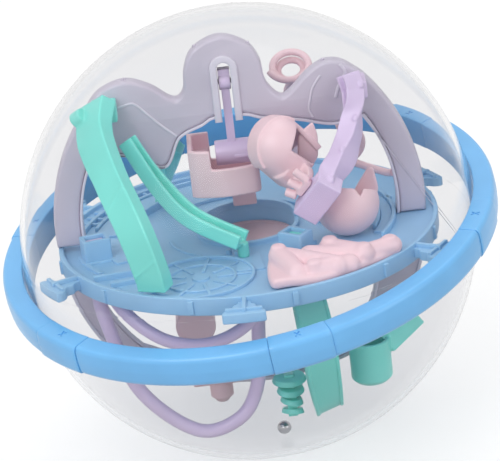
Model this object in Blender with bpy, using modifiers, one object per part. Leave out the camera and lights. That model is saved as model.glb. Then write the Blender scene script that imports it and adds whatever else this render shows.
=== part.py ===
"""A 3-D maze ball puzzle: a clear ball that holds a maze of rails, cups and slides, inside a grip ring.

All shapes are made in millimetres and turned to metres at the end. +Z is the maze tray's upward normal,
the origin is the centre of the ball, and the grip ring rests tilted on the ball.
"""

import math

import bmesh
import bpy
from mathutils import Matrix, Vector
from mathutils.geometry import interpolate_bezier

MM = 0.001

# The ball
BALL_RADIUS = 95.0
SHELL_WALL = 2.0
FIT = 0.3  # gap between pieces that touch
LAID_OUT_FOR = 93.0  # inner radius of the ball that the maze's route points are written for

# The grip ring
RING_CLEARANCE = 0.4
RING_DEPTH = 9.0
RING_HEIGHT = 12.7
RING_TILT = 10.5
RING_TILT_AZIMUTH = -34.5
RING_SECTIONS = 6
RING_FIRST_JOINT = -82.0
JOINT_SPAN = 13.6
JOINT_STEP = 0.4
TONGUE_LENGTH = 7.0
TONGUE_DEPTH = 4.6
TONGUE_HEIGHT = 6.0

# The maze tray
TRAY_RADIUS = 79.2
TRAY_RIM_WALL = 2.0
TRAY_RIM_TOP = 3.2
TRAY_RIM_BOTTOM = -4.1
TRAY_FLOOR_TOP = 1.0
TRAY_FLOOR_BOTTOM = -1.2
WELL_RADIUS = 19.5
WELL_WALL = 2.0
WELL_BACK_TOP = 6.3
ARM_COUNT = 6
ARM_FIRST = 26.5
ARM_NECK = 5.0
ARM_END = 17.0
RIB = 1.8
RIB_TOP = 3.4
SOCKET_TOP = 10.6
SOCKET_WALL = 1.7
SOCKET_BORE = (8.0, 5.6)
TENON = (7.0, 4.6)

WELL_DISC = 1.5  # thickness of the disc that closes the well

# The upright frames
CROWN_THICKNESS = 8.0
LEG_WIDTH = 11.0
LEG_SPREAD = 0.16  # how much further out the crown's legs lie for each degree above the tray
LOWER_THICKNESS = 4.4

# The swing
SLOT_X = -2.5
SLOT_WIDTH = 5.4
SLOT_BOTTOM = 46.0
SLOT_TOP = 75.0
CHEEK = SLOT_WIDTH / 2 + 3.0  # half the width over the slot's two walls
CHEEK_THICKNESS = 10.4
PIVOT_Z = 66.0
AXLE_RADIUS = 1.1
SWING_LENGTH = 30.5
SWING_ARM = 3.4
CRADLE_LENGTH = 14.4
CRADLE_RADIUS = 5.2

STEEL_RADIUS = 3.0

CAVITY = BALL_RADIUS - SHELL_WALL
LAYOUT = CAVITY / LAID_OUT_FOR
SHELL_STEPS = 40
WITHIN_SHELL = CAVITY * math.cos(math.pi / SHELL_STEPS) ** 2 - FIT  # clear of the shells' flat facets
RIM_INSIDE = TRAY_RADIUS * LAYOUT - TRAY_RIM_WALL
LEG = RIM_INSIDE - 2 * FIT  # outer radius of the upright frames' legs
ON_TRAY = TRAY_FLOOR_TOP + FIT
ON_RIM = TRAY_RIM_TOP + FIT
UNDER_TRAY = TRAY_FLOOR_BOTTOM - FIT
UNDER_RIM = TRAY_RIM_BOTTOM - FIT
CROWN_FRONT = -CROWN_THICKNESS / 2 - FIT

for old in list(bpy.data.objects):
    bpy.data.objects.remove(old)
maze = bpy.data.collections.new("maze_ball_puzzle")
bpy.context.scene.collection.children.link(maze)


def material(name, colour, roughness=0.35, metallic=0.0, alpha=1.0):
    finish = bpy.data.materials.new(name)
    finish.use_nodes = True
    shader = finish.node_tree.nodes["Principled BSDF"]
    shader.inputs["Base Color"].default_value = (*colour, 1.0)
    shader.inputs["Roughness"].default_value = roughness
    shader.inputs["Metallic"].default_value = metallic
    shader.inputs["Alpha"].default_value = alpha
    return finish


SKY = material("sky_blue_abs", (0.15, 0.46, 0.83))
POWDER = material("powder_blue_abs", (0.28, 0.53, 0.80))
GREY = material("grey_lilac_abs", (0.50, 0.47, 0.54))
LILAC = material("lilac_abs", (0.60, 0.45, 0.72))
MINT = material("mint_abs", (0.13, 0.66, 0.55))
PINK = material("pink_abs", (0.78, 0.50, 0.52))
CLEAR = material("clear_polystyrene", (0.90, 0.92, 0.93), roughness=0.05, alpha=0.2)
STEEL = material("polished_steel", (0.55, 0.55, 0.55), roughness=0.2, metallic=1.0)


def at(x, y, z):
    """A place in the maze, which follows the inside of the ball."""
    return Vector((x, y, z)) * LAYOUT


def smooth(points, steps, closed=False):
    """Points along a smooth curve through the given ones, with so many steps to each stretch."""
    knots = [Vector(point).to_3d() for point in points]
    last = len(knots) - 1

    def knot(index):
        return knots[index % len(knots)] if closed else knots[max(0, min(index, last))]

    route = []
    for index in range(len(knots) if closed else last):
        before, start, end, after = (knot(index + shift) for shift in (-1, 0, 1, 2))
        leave = start + (end - before) / 6
        arrive = end - (after - start) / 6
        route += interpolate_bezier(start, leave, arrive, end, steps + 1)[:-1]
    return route if closed else route + [knots[-1]]


def arc(radius, start, end, steps, centre=(0.0, 0.0)):
    """Points on a circular arc, between two angles in degrees."""
    angles = (math.radians(start + (end - start) * i / steps) for i in range(steps + 1))
    return [(centre[0] + radius * math.cos(a), centre[1] + radius * math.sin(a)) for a in angles]


def from_mesh(name, mesh, finish):
    """An object in the maze's collection, with its mesh closed and its faces pointing out."""
    shape = bmesh.new()
    shape.from_mesh(mesh)
    bmesh.ops.remove_doubles(shape, verts=shape.verts, dist=1e-4)
    bmesh.ops.recalc_face_normals(shape, faces=shape.faces)
    shape.to_mesh(mesh)
    shape.free()
    mesh.materials.clear()
    mesh.materials.append(finish)
    part = bpy.data.objects.new(name, mesh)
    maze.objects.link(part)
    return part


def from_shape(name, shape, finish, place=None):
    """An object from a bmesh, which is used up."""
    mesh = bpy.data.meshes.new(name)
    shape.to_mesh(mesh)
    shape.free()
    if place is not None:
        mesh.transform(place)
    return from_mesh(name, mesh, finish)


def applied(part):
    """The part's mesh with its modifiers applied."""
    bpy.context.view_layer.update()
    graph = bpy.context.evaluated_depsgraph_get()
    return bpy.data.meshes.new_from_object(part.evaluated_get(graph))


def combined(part, others, operation):
    """The part after a Boolean with each of the others, which are used up."""
    for other in others:
        boolean = part.modifiers.new(operation.lower(), "BOOLEAN")
        boolean.operation = operation
        boolean.solver = "EXACT"
        boolean.object = other
    made = applied(part)
    name, finish = part.name, part.data.materials[0]
    for used in [part, *others]:
        bpy.data.objects.remove(used)
    return from_mesh(name, made, finish)


def joined(part, *others):
    return combined(part, others, "UNION")


def cut(part, *others):
    return combined(part, others, "DIFFERENCE")


def box(name, low, high, finish, place=None):
    shape = bmesh.new()
    bmesh.ops.create_cube(shape, size=1.0)
    low, high = Vector(low), Vector(high)
    size = high - low
    stretch = Matrix.Translation((low + high) / 2) @ Matrix.Diagonal((*size, 1.0))
    bmesh.ops.transform(shape, matrix=stretch, verts=shape.verts)
    return from_shape(name, shape, finish, place)


def cylinder(name, start, end, radius, finish, sides=24, end_radius=None):
    """A round bar, or a cone, from one point to another."""
    start, end = Vector(start), Vector(end)
    run = end - start
    shape = bmesh.new()
    bmesh.ops.create_cone(
        shape,
        cap_ends=True,
        segments=sides,
        radius1=radius,
        radius2=radius if end_radius is None else end_radius,
        depth=run.length,
    )
    turn = Vector((0, 0, 1)).rotation_difference(run).to_matrix().to_4x4()
    place = Matrix.Translation((start + end) / 2) @ turn
    return from_shape(name, shape, finish, place)


def ball(name, centre, radius, finish, segments=16):
    shape = bmesh.new()
    bmesh.ops.create_uvsphere(shape, u_segments=segments, v_segments=segments // 2, radius=radius)
    return from_shape(name, shape, finish, Matrix.Translation(centre))


def turned(name, profile, finish, steps=48, place=None):
    """A solid turned about Z from a closed profile of (radius, height)."""
    outline = bpy.data.meshes.new(name)
    points = [(radius, 0.0, height) for radius, height in profile]
    edges = [(i, (i + 1) % len(points)) for i in range(len(points))]
    edges = [(i, k) for i, k in edges if points[i][0] > 0 or points[k][0] > 0]
    outline.from_pydata(points, edges, [])
    guide = bpy.data.objects.new(name, outline)
    maze.objects.link(guide)
    screw = guide.modifiers.new("turn", "SCREW")
    screw.steps = screw.render_steps = steps
    screw.use_merge_vertices = True
    screw.merge_threshold = 1e-4
    mesh = applied(guide)
    bpy.data.objects.remove(guide)
    if place is not None:
        mesh.transform(place)
    return from_mesh(name, mesh, finish)


def plate(name, outline, low, high, finish, place=None):
    """A flat plate with this outline in X and Y, between two heights."""
    curve = bpy.data.curves.new(name, "CURVE")
    curve.dimensions = "2D"
    curve.fill_mode = "BOTH"
    curve.extrude = (high - low) / 2
    spline = curve.splines.new("POLY")
    spline.points.add(len(outline) - 1)
    for point, place_of in zip(spline.points, outline):
        point.co = (place_of[0], place_of[1], 0.0, 1.0)
    spline.use_cyclic_u = True
    guide = bpy.data.objects.new(name, curve)
    maze.objects.link(guide)
    mesh = applied(guide)
    bpy.data.objects.remove(guide)
    lift = Matrix.Translation((0, 0, (low + high) / 2))
    mesh.transform(lift if place is None else place @ lift)
    return from_mesh(name, mesh, finish)


def tube(name, route, radius, finish, detail=2):
    """A round rail along a route."""
    curve = bpy.data.curves.new(name, "CURVE")
    curve.dimensions = "3D"
    curve.bevel_depth = radius
    curve.bevel_resolution = detail
    curve.use_fill_caps = True
    spline = curve.splines.new("POLY")
    spline.points.add(len(route) - 1)
    for point, place_of in zip(spline.points, route):
        point.co = (*place_of, 1.0)
    guide = bpy.data.objects.new(name, curve)
    maze.objects.link(guide)
    mesh = applied(guide)
    bpy.data.objects.remove(guide)
    return from_mesh(name, mesh, finish)


def loft(name, sections, finish, place=None):
    """A solid through a row of sections that have as many points each."""
    shape = bmesh.new()
    rings = [[shape.verts.new(point) for point in section] for section in sections]
    for one, two in zip(rings, rings[1:]):
        for i in range(len(one)):
            shape.faces.new((one[i - 1], one[i], two[i], two[i - 1]))
    shape.faces.new(rings[0])
    shape.faces.new(rings[-1])
    return from_shape(name, shape, finish, place)


def swept_arc(name, profile, start, end, steps, finish, place=None):
    """A profile of (radius, height) turned about Z between two angles."""
    angles = [math.radians(start + (end - start) * i / steps) for i in range(steps + 1)]
    sections = [[(r * math.cos(a), r * math.sin(a), z) for r, z in profile] for a in angles]
    return loft(name, sections, finish, place)


def band(name, route, profile, finish, outward=None, widths=None):
    """A profile of (across, outward) carried along a route. Outward is away from the ball's centre if not given."""
    sections = []
    for i, point in enumerate(route):
        ahead = route[min(i + 1, len(route) - 1)] - route[max(i - 1, 0)]
        away = (outward or point).copy()
        away = (away - away.project(ahead)).normalized()
        across = ahead.normalized().cross(away)
        stretch = widths[i] if widths else 1.0
        sections.append([point + across * (a * stretch) + away * n for a, n in profile])
    return loft(name, sections, finish)


def channel(width, depth, wall):
    """A U-shaped profile, with its back outward and its mouth towards the centre."""
    half = width / 2
    inner = half - wall
    return [
        (-half, 0), (half, 0), (half, -depth), (inner, -depth),
        (inner, -wall), (-inner, -wall), (-inner, -depth), (-half, -depth),
    ]


def flat_bar(width, thickness):
    half, side = width / 2, thickness / 2
    return [(-half, -side), (half, -side), (half, side), (-half, side)]


UPRIGHT = Matrix.Rotation(math.radians(90), 4, "X")  # turns a plate's X and Y to X and Z, facing -Y


# The grip ring: long arcs, with short joint blocks whose tongues plug into them
def grip_ring():
    axis = Vector((math.cos(math.radians(RING_TILT_AZIMUTH)), math.sin(math.radians(RING_TILT_AZIMUTH)), 0))
    tilt = Matrix.Rotation(math.radians(RING_TILT), 4, axis)
    inside = BALL_RADIUS + RING_CLEARANCE
    outside = inside + RING_DEPTH
    half = RING_HEIGHT / 2
    middle = (inside + outside) / 2
    pitch = 360 / RING_SECTIONS
    seam = math.degrees(FIT / middle)
    reach = math.degrees(TONGUE_LENGTH / middle)

    def bar(step):
        """The ring's cross-section: flat top, bottom and inside, and a crowned outside with eased corners."""
        r, h = outside + step, half + step / 2
        half_bar = [(r, 0), (r - 0.4, h - 1.2), (r - 1.6, h), (inside, h)]
        return [(x, -y) for x, y in half_bar[:0:-1]] + half_bar

    def tongue(clearance):
        d, h = TONGUE_DEPTH / 2 + clearance, TONGUE_HEIGHT / 2 + clearance
        return [(middle - d, -h), (middle + d, -h), (middle + d, h), (middle - d, h)]

    for number in range(1, RING_SECTIONS + 1):
        centre = RING_FIRST_JOINT + pitch * (number - 1)
        edge = centre + JOINT_SPAN / 2
        block = swept_arc(f"ring_joint_{number}", bar(JOINT_STEP), centre - JOINT_SPAN / 2, edge, 4, SKY, tilt)
        tongues = swept_arc("tongue", tongue(0), centre - JOINT_SPAN / 2 - reach, edge + reach, 6, SKY, tilt)
        joined(block, tongues)
        start, end = edge + seam, edge + pitch - JOINT_SPAN - seam
        long_arc = swept_arc(f"ring_arc_{number}", bar(0), start, end, 14, SKY, tilt)
        sockets = [
            swept_arc("socket", tongue(FIT), near - 2 * seam, near + reach + 2 * seam, 3, SKY, tilt)
            for near in (edge, edge + pitch - JOINT_SPAN - reach)
        ]
        cut(long_arc, *sockets)


# The clear ball: two hemispheres that meet at the tray's rim
def clear_shells():
    def half(sign, name):
        edge = math.degrees(FIT / 2 / BALL_RADIUS)
        outer = arc(BALL_RADIUS, 90, edge, SHELL_STEPS // 4)
        inner = arc(CAVITY, edge, 90, SHELL_STEPS // 4)
        outer[0], inner[-1] = (0.0, BALL_RADIUS), (0.0, CAVITY)
        turned(name, [(r, sign * z) for r, z in outer + inner], CLEAR, steps=SHELL_STEPS)

    half(1, "top_shell")
    half(-1, "bottom_shell")


# The maze tray: a rimmed disc with a central well, arms that reach the shells, and sockets
SOCKETS = {"left": (at(-63, -14.5, 0), 15.0), "right": (at(18.5, -34, 0), -38.0)}


def socket_place(side):
    centre, turn = SOCKETS[side]
    return Matrix.Translation(centre) @ Matrix.Rotation(math.radians(turn), 4, "Z")


def maze_tray():
    rim = TRAY_RADIUS * LAYOUT
    inner = RIM_INSIDE
    well = WELL_RADIUS + WELL_WALL
    profile = [
        (rim, TRAY_RIM_TOP), (rim, TRAY_RIM_BOTTOM), (inner, TRAY_RIM_BOTTOM), (inner, TRAY_FLOOR_BOTTOM),
        (well, TRAY_FLOOR_BOTTOM), (well, TRAY_RIM_BOTTOM), (WELL_RADIUS, TRAY_RIM_BOTTOM),
        (WELL_RADIUS, TRAY_RIM_TOP), (well, TRAY_RIM_TOP), (well, TRAY_FLOOR_TOP),
        (inner, TRAY_FLOOR_TOP), (inner, TRAY_RIM_TOP),
    ]
    tray = turned("maze_tray", profile, POWDER, steps=60)
    end = WITHIN_SHELL
    near, far = WELL_RADIUS + 0.05, well - 0.05
    wall = [(near, TRAY_FLOOR_TOP), (far, TRAY_FLOOR_TOP), (far, WELL_BACK_TOP), (near, WELL_BACK_TOP)]
    extras = [swept_arc("well_back", wall, 5, 175, 20, POWDER)]
    neck, tip = ARM_NECK / 2, ARM_END / 2
    for number in range(ARM_COUNT):
        turn = Matrix.Rotation(math.radians(ARM_FIRST + 360 / ARM_COUNT * number), 4, "Z")
        outline = [(inner + 0.5, -neck), (rim + 3, -neck), (end - 2.4, -tip)]
        outline += [(math.sqrt(end**2 - tip**2), -tip), (end, 0), (math.sqrt(end**2 - tip**2), tip)]
        outline += [(end - 2.4, tip), (rim + 3, neck), (inner + 0.5, neck)]
        extras.append(plate("arm", outline, -2.6, 1.4, POWDER, turn))
    ring_wall = [(22, 2.5), (22, 0), (20.5, 0), (20.5, 2.5)]
    extras.append(turned("bowl", ring_wall, POWDER, steps=32, place=Matrix.Translation(at(-21, -50, 0))))
    for start, stop, radius in ((-28, 24, 60.9), (-20, 30, 54.5)):
        near, far = radius * LAYOUT - RIB / 2, radius * LAYOUT + RIB / 2
        ridge = [(near, 0), (far, 0), (far, RIB_TOP), (near, RIB_TOP)]
        extras.append(swept_arc("ridge", ridge, start, stop, 12, POWDER))
    for x, y, turn in ((-56, -38, 8), (-49, -47, 8)):
        place = Matrix.Translation(at(x, y, 0)) @ Matrix.Rotation(math.radians(turn), 4, "Z")
        extras.append(box("rib", (-8, -RIB / 2, 0), (8, RIB / 2, RIB_TOP), POWDER, place))
    outer = [side / 2 + SOCKET_WALL for side in SOCKET_BORE]
    bore = [side / 2 for side in SOCKET_BORE]
    holes = []
    for side in SOCKETS:
        place = socket_place(side)
        extras.append(box("socket", (-outer[0], -outer[1], 0), (outer[0], outer[1], SOCKET_TOP), POWDER, place))
        holes.append(box("bore", (-bore[0], -bore[1], -9), (bore[0], bore[1], SOCKET_TOP + 9), POWDER, place))
    cut(joined(tray, *extras), *holes)


# The pink disc that closes the well, level with the bottom of its wall
def well_disc():
    radius = WELL_RADIUS * math.cos(math.pi / 60) - FIT
    cylinder("well_disc", (0, 0, TRAY_RIM_BOTTOM), (0, 0, TRAY_RIM_BOTTOM + WELL_DISC), radius, PINK, 60)


def leg(side, foot, end, steps, inset=0.0, spread=0.0):
    """One edge of a frame's leg, from its foot's height to an angle above or below the tray."""
    start = math.degrees(math.asin(foot / (LEG - inset)))
    angles = [start + (end - start) * i / steps for i in range(steps + 1)]
    radii = [LEG - inset + spread * abs(angle) for angle in angles]
    turns = [math.radians(angle) for angle in angles]
    return [(SLOT_X + side * r * math.cos(a), r * math.sin(a)) for r, a in zip(radii, turns)]


def across_slot(name, half_length, radius, finish, height, sides=16):
    """A cylinder across the crown's slot."""
    start, end = (SLOT_X - half_length, 0, height), (SLOT_X + half_length, 0, height)
    return cylinder(name, start, end, radius, finish, sides)


# The crown: the upright frame with three lobes. Its left foot stands on the tray's rim, its right one inside it
def crown_frame():
    lobes = [
        (-54, 68), (-43, 71.5), (-33, 68), (-26, 62.6), (-22.4, 61.6), (-19.6, 65), (-18.4, 73), (-14, 81.2),
        (-3, 85.6), (8, 81.2), (12.6, 74), (14.2, 64), (19.5, 57.5), (24.5, 60), (31, 66), (38, 69.8),
        (45, 69.2), (50.5, 65.5),
    ]
    middle = [
        (40, 44), (26, 47.5), (12, 50), (4, 52.5), (-8.5, 52.5), (-14, 50), (-24, 45.5), (-31, 34), (-43, 40),
    ]
    left = leg(-1, ON_RIM, 46, 9, spread=LEG_SPREAD)
    right = leg(1, ON_TRAY, 48, 9, spread=LEG_SPREAD)[::-1]
    right_inner = leg(1, ON_TRAY, 40, 7, LEG_WIDTH, LEG_SPREAD)
    left_inner = leg(-1, ON_RIM, 37, 7, LEG_WIDTH, LEG_SPREAD)[::-1]
    top = smooth([left[-1]] + [at(*p, 0).to_2d() for p in lobes] + [right[0]], 3)
    under = smooth([right_inner[-1]] + [at(*p, 0).to_2d() for p in middle] + [left_inner[0]], 4)
    outline = left + top[1:-1] + right + right_inner + under[1:-1] + left_inner

    def arch(name, half_width, bottom, half_depth):
        """A plate with a round top about the slot's centre line."""
        top = arc(half_width, 0, 180, 12, (SLOT_X, SLOT_TOP - SLOT_WIDTH / 2))
        outline = [(SLOT_X + half_width, bottom)] + top + [(SLOT_X - half_width, bottom)]
        return plate(name, outline, -half_depth, half_depth, GREY, UPRIGHT)

    crown = plate("crown_frame", outline, -CROWN_THICKNESS / 2, CROWN_THICKNESS / 2, GREY, UPRIGHT)
    crown = joined(crown, arch("cheeks", CHEEK, SLOT_BOTTOM + 4, CHEEK_THICKNESS / 2))
    slot = arch("slot", SLOT_WIDTH / 2, SLOT_BOTTOM - 9, CROWN_THICKNESS + 1)
    cut(crown, slot, across_slot("bore", CHEEK + 0.6, AXLE_RADIUS + FIT, GREY, PIVOT_Z))


# The lower frame: a U under the tray that carries the lower maze
def lower_frame():
    half = LOWER_THICKNESS / 2
    left = leg(-1, UNDER_RIM, -46, 8)
    right = leg(1, UNDER_TRAY, -46, 8)[::-1]
    outer = [at(x, z, 0).to_2d() for x, z in ((-28, -64.5), (0, -68), (26, -64.5))]
    outer = smooth([left[-1]] + outer + [right[0]], 4)
    right_web = [Vector((52 * LAYOUT, UNDER_TRAY)), at(50, -30, 0).to_2d(), at(44, -44, 0).to_2d()]
    left_inner = leg(-1, UNDER_RIM, -44, 8, LEG_WIDTH)[::-1]
    under = [at(x, z, 0).to_2d() for x, z in ((26, -56), (0, -59.5), (-26, -56))]
    under = smooth([right_web[-1]] + under + [left_inner[0]], 4)
    outline = left + outer[1:-1] + right + right_web + under[1:-1] + left_inner
    plate("lower_frame", outline, -half, half, GREY, UPRIGHT)


# The swing: a lever that hangs on an axle in the crown's slot and carries the ball over the tub
def swing():
    across_slot("swing_axle", CHEEK, AXLE_RADIUS, STEEL, PIVOT_Z)
    half_head = SLOT_WIDTH / 2 - FIT
    low = PIVOT_Z - SWING_LENGTH
    head = across_slot("swing_lever", half_head, AXLE_RADIUS + 2.4, LILAC, PIVOT_Z, 20)
    block = box("block", (SLOT_X - half_head, -2.2, PIVOT_Z + 0.5), (SLOT_X + half_head, 2.2, PIVOT_Z + 5.5), LILAC)
    half = SWING_ARM / 2
    arm = box("arm", (SLOT_X - half, -half, low), (SLOT_X + half, half, PIVOT_Z - 1), LILAC)
    cradle = across_slot("cradle", CRADLE_LENGTH / 2, CRADLE_RADIUS, LILAC, low, 24)
    cut(joined(head, block, arm, cradle), across_slot("bore", SLOT_WIDTH, AXLE_RADIUS + FIT, LILAC, PIVOT_Z))


# The pink tub under the swing, on a post that stands on the back of the tray's well
def pink_tub():
    x0, x1, y1, low, high, wall = -21, 7.5, 13.5, 21.0, 41.0, 2.0
    front, back = 33.0, 29.0
    outline = smooth([(x0, -10), (x0 + 4, -12.5), (-7, -14.5), (x1 - 3, -13), (x1, -10)], 3) + [(x1, y1), (x0, y1)]
    tub = plate("pink_tub", outline, low, high, PINK)
    post_y = WELL_RADIUS + WELL_WALL / 2
    post = box("post", (-5, y1 - 1, WELL_BACK_TOP + FIT), (5, post_y + 1.4, low + 4), PINK)
    tub = joined(tub, post)
    hollow = smooth([(x0 + wall, -8.5), (x0 + 5, -10.6), (-7, -12.4), (x1 - 4, -11), (x1 - wall, -8.5)], 3)
    hollow += [(x1 - wall, y1 - wall), (x0 + wall, y1 - wall)]
    inside = plate("inside", hollow, low + wall, high + 5, PINK)
    lowered = box("lowered", (x0 + 9, -30, front), (x1 + 9, 30, high + 5), PINK)
    way_out = box("way_out", (x0 + 9, y1 - wall - 1, back), (x1 + 9, 30, high + 5), PINK)
    outlet = box("outlet", (x1 - 3.5, -9, 26), (x1 + 9, y1 - wall, high + 5), PINK)
    cut(tub, inside, lowered, way_out, outlet)


END_BOX = (20.0, 8.8, 10.8)
END_BOX_PLACE = (
    Matrix.Translation(at(29.2, -37.5, 25))
    @ Matrix.Rotation(math.radians(-53), 4, "Y")
    @ Matrix.Rotation(math.radians(-20), 4, "Z")
)


# The pink hood: a domed drum with a ramp that leads into the lilac track's end box
def pink_hood():
    centre, axis = at(15.8, -19, 42), Vector((-0.60, -0.25, 0.76)).normalized()
    radius, wall, length = 12.0, 1.8, 12.0
    outer = arc(radius, 90, 0, 6) + [(radius, -length)]
    inner = [(radius - wall, -length)] + arc(radius - wall, 0, 90, 6)
    outer[0], inner[-1] = (0.0, radius), (0.0, radius - wall)
    place = Matrix.Translation(centre) @ Vector((0, 0, 1)).rotation_difference(axis).to_matrix().to_4x4()
    hood = turned("pink_hood", outer + inner, PINK, steps=28, place=place)
    ramp_start = centre - axis * 8.5 + Vector((0.5, -8.5, -2))
    lift = END_BOX[2] / 2 + FIT + 1.4
    ramp_bend, ramp_end = (END_BOX_PLACE @ Vector((0.5, y, lift)) for y in (7.5, -1.0))
    across = END_BOX_PLACE.to_3x3() @ Vector((0, 0, 1))
    ramp = band("ramp", [ramp_start, ramp_bend, ramp_end], flat_bar(8, 2.8), PINK, outward=across)
    fingers = []
    for along, lean in ((-2.0, (-2.2, 0.5, 7.0)), (3.4, (0.8, 0.5, 7.5))):
        root = Vector((along, 1.0, lift))
        start, end = END_BOX_PLACE @ root, END_BOX_PLACE @ (root + Vector(lean))
        fingers.append(cylinder("finger", start, end, 1.4, PINK, 12, 1.1))
    joined(hood, ramp, *fingers)


# The lilac track: a channel from the crown's right lobe down to its end box
def lilac_track():
    points = [
        at(50.5, -11.2, 67), at(52, -13.4, 60), at(51, -18, 51),
        at(47, -26, 42), at(41, -33.5, 34.5), at(33, -38.8, 27),
    ]
    route = smooth(points, 4)
    track = band("lilac_track", route, channel(10, 7.5, 1.8), LILAC, outward=Vector((0.7, 0.4, 0.6)))
    half = [size / 2 for size in END_BOX]
    end_box = box("end_box", [-size for size in half], half, LILAC, END_BOX_PLACE)
    clip = box("clip", at(48, -13, 57), at(54, 0, 64), LILAC)
    clip.data.transform(Matrix.Translation((0, CROWN_FRONT - max(v.co.y for v in clip.data.vertices), 0)))
    joined(track, end_box, clip)


# The pink cup that stands on the tray, with a fin at its back
def pink_cup():
    radius, wall = 13.3, 1.8
    centre = Vector((41 * LAYOUT, -20.5 * LAYOUT, ON_TRAY + radius))
    outer = arc(radius, -90, 24, 9)
    inner = arc(radius - wall, 24, -90, 9)
    outer[0], inner[-1] = (0.0, -radius), (0.0, wall - radius)
    tilt = Matrix.Rotation(math.radians(-24), 4, "X") @ Matrix.Rotation(math.radians(8), 4, "Y")
    cup = turned("pink_cup", outer + inner, PINK, steps=32, place=Matrix.Translation(centre) @ tilt)
    fin_place = Matrix.Translation(centre + Vector((2.5, 10.4, -3.5))) @ UPRIGHT
    fin = plate("fin", [(-3, -5), (8, -5), (10.5, 6), (8.5, 13.5), (5, 8)], -0.9, 0.9, PINK, fin_place)
    joined(cup, fin)


# The mint slide: a channel down the inside of the ball, from the crown's left lobe to the tray's rim
def mint_slide():
    foot = Vector((-40.5 * LAYOUT, -66.0 * LAYOUT, TRAY_RIM_TOP + FIT + 0.2))
    points = [
        at(-57, -11.8, 67.5), at(-59, -23, 58), at(-54, -43, 46),
        at(-46.5, -61, 30), at(-42, -66.5, 14), foot,
    ]
    route = smooth(points, 4)
    widths = [1.3 - 0.3 * min(1.0, i / 8) for i in range(len(route))]
    slide = band("mint_slide", route, channel(13, 7, 2), MINT, widths=widths)
    peg = cylinder("peg", at(-60, -14, 63), at(-64, -11.5, 60), 3.2, MINT, 16)
    hook = box("hook", at(-57, -9, 58), at(-47, 0, 66), MINT)
    hook.data.transform(Matrix.Translation((0, CROWN_FRONT - max(v.co.y for v in hook.data.vertices), 0)))
    joined(slide, peg, hook)


# The mint rail: a narrow channel from the slide's head to a boss near the well
def mint_rail():
    end = Vector((-4 * LAYOUT, -35 * LAYOUT, ON_TRAY + 5.4))
    route = smooth([at(-47, -14, 49), at(-37.5, -19, 32), at(-24, -26.5, 16.5), end], 5)
    widths = [1.0 + 0.35 * i / (len(route) - 1) for i in range(len(route))]
    outward = Vector((0.0, -0.15, -1.0))
    rail = band("mint_rail", route, channel(9, 6, 1.8), MINT, outward, widths)
    low, high = (end.x + 1, end.y + 3, ON_TRAY), (end.x + 1, end.y + 3, end.z + 0.8)
    boss = cylinder("boss", low, high, 2.4, MINT, 14)
    joined(rail, boss)


# The pink mounds: soft bumps in one sector of the tray
def pink_mounds():
    outline = [
        (6, -70), (6.5, -47), (13, -44), (26, -45.5), (36, -43), (46, -50),
        (59, -47), (56, -53), (44, -62), (26, -71.6), (14, -71.6),
    ]
    outline = smooth([at(*point, 0).to_2d() for point in outline], 3, closed=True)
    mounds = plate("pink_mounds", outline, ON_TRAY, 6.5, PINK)
    posts = []
    for x, y, top in ((10.5, -50, 10), (32, -46.5, 9.5), (24, -67, 9), (43, -57, 9.5), (53, -50.5, 8.5)):
        spot = at(x, y, 0)
        posts.append(cylinder("post", (spot.x, spot.y, 4), (spot.x, spot.y, top), 3.4, PINK, 16, 2.4))
    joined(mounds, *posts)


# Behind the crown: a spiral, a hook and a mint chute
def rear_pieces():
    turns, steps = 2.25, 12
    place = Matrix.Translation(at(25, 24, 61)) @ Matrix.Rotation(math.radians(48), 4, "X")
    route = []
    for i in range(int(turns * steps) + 1):
        share = i / (turns * steps)
        angle = math.radians(200 + 360 * turns * share)
        radius = 9 - 4.8 * share
        route.append(place @ Vector((radius * math.cos(angle), radius * 0.85 * math.sin(angle), 4 - 9 * share)))
    foot = Vector((24 * LAYOUT, 48 * LAYOUT, ON_TRAY))
    route += smooth([route[-1], at(23, 36, 46), at(24, 44, 26), foot + Vector((0, 0, 5)), foot], 4)[1:]
    tube("rear_spiral", route, 1.5, PINK)
    leg = Vector((62.5 * LAYOUT, -CROWN_FRONT, 17 * LAYOUT))
    hook_centre = at(44.2, 20, 26.5)
    curl = [hook_centre + Vector((7.5 * c, 0, 7.5 * s)) for c, s in arc(1, -90, 110, 10)]
    tube("rear_hook", smooth([leg, at(60, 8, 15.5), at(53, 16, 16), curl[0]], 3) + curl[1:], 1.6, PINK)
    chute_foot = Vector((-34 * LAYOUT, 44 * LAYOUT, ON_TRAY + 2.7))
    chute = smooth([at(-31, 8.5, 42), at(-28, 20, 31), at(-30, 36, 14), chute_foot], 4)
    band("rear_chute", chute, channel(9, 4.5, 1.8), MINT, outward=Vector((0.0, 0.6, -0.8)))


# Under the tray: lilac rails, pink pieces and mint pieces
def tenon(name, side, finish):
    x, y = [size / 2 for size in TENON]
    return box(name, (-x, -y, UNDER_TRAY - 2.5), (x, y, SOCKET_TOP - 1.5), finish, socket_place(side))


def shoulder(name, side, finish):
    x, y = [size / 2 + SOCKET_WALL for size in SOCKET_BORE]
    return box(name, (-x, -y, UNDER_TRAY - 3), (x, y, UNDER_TRAY), finish, socket_place(side))


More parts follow.
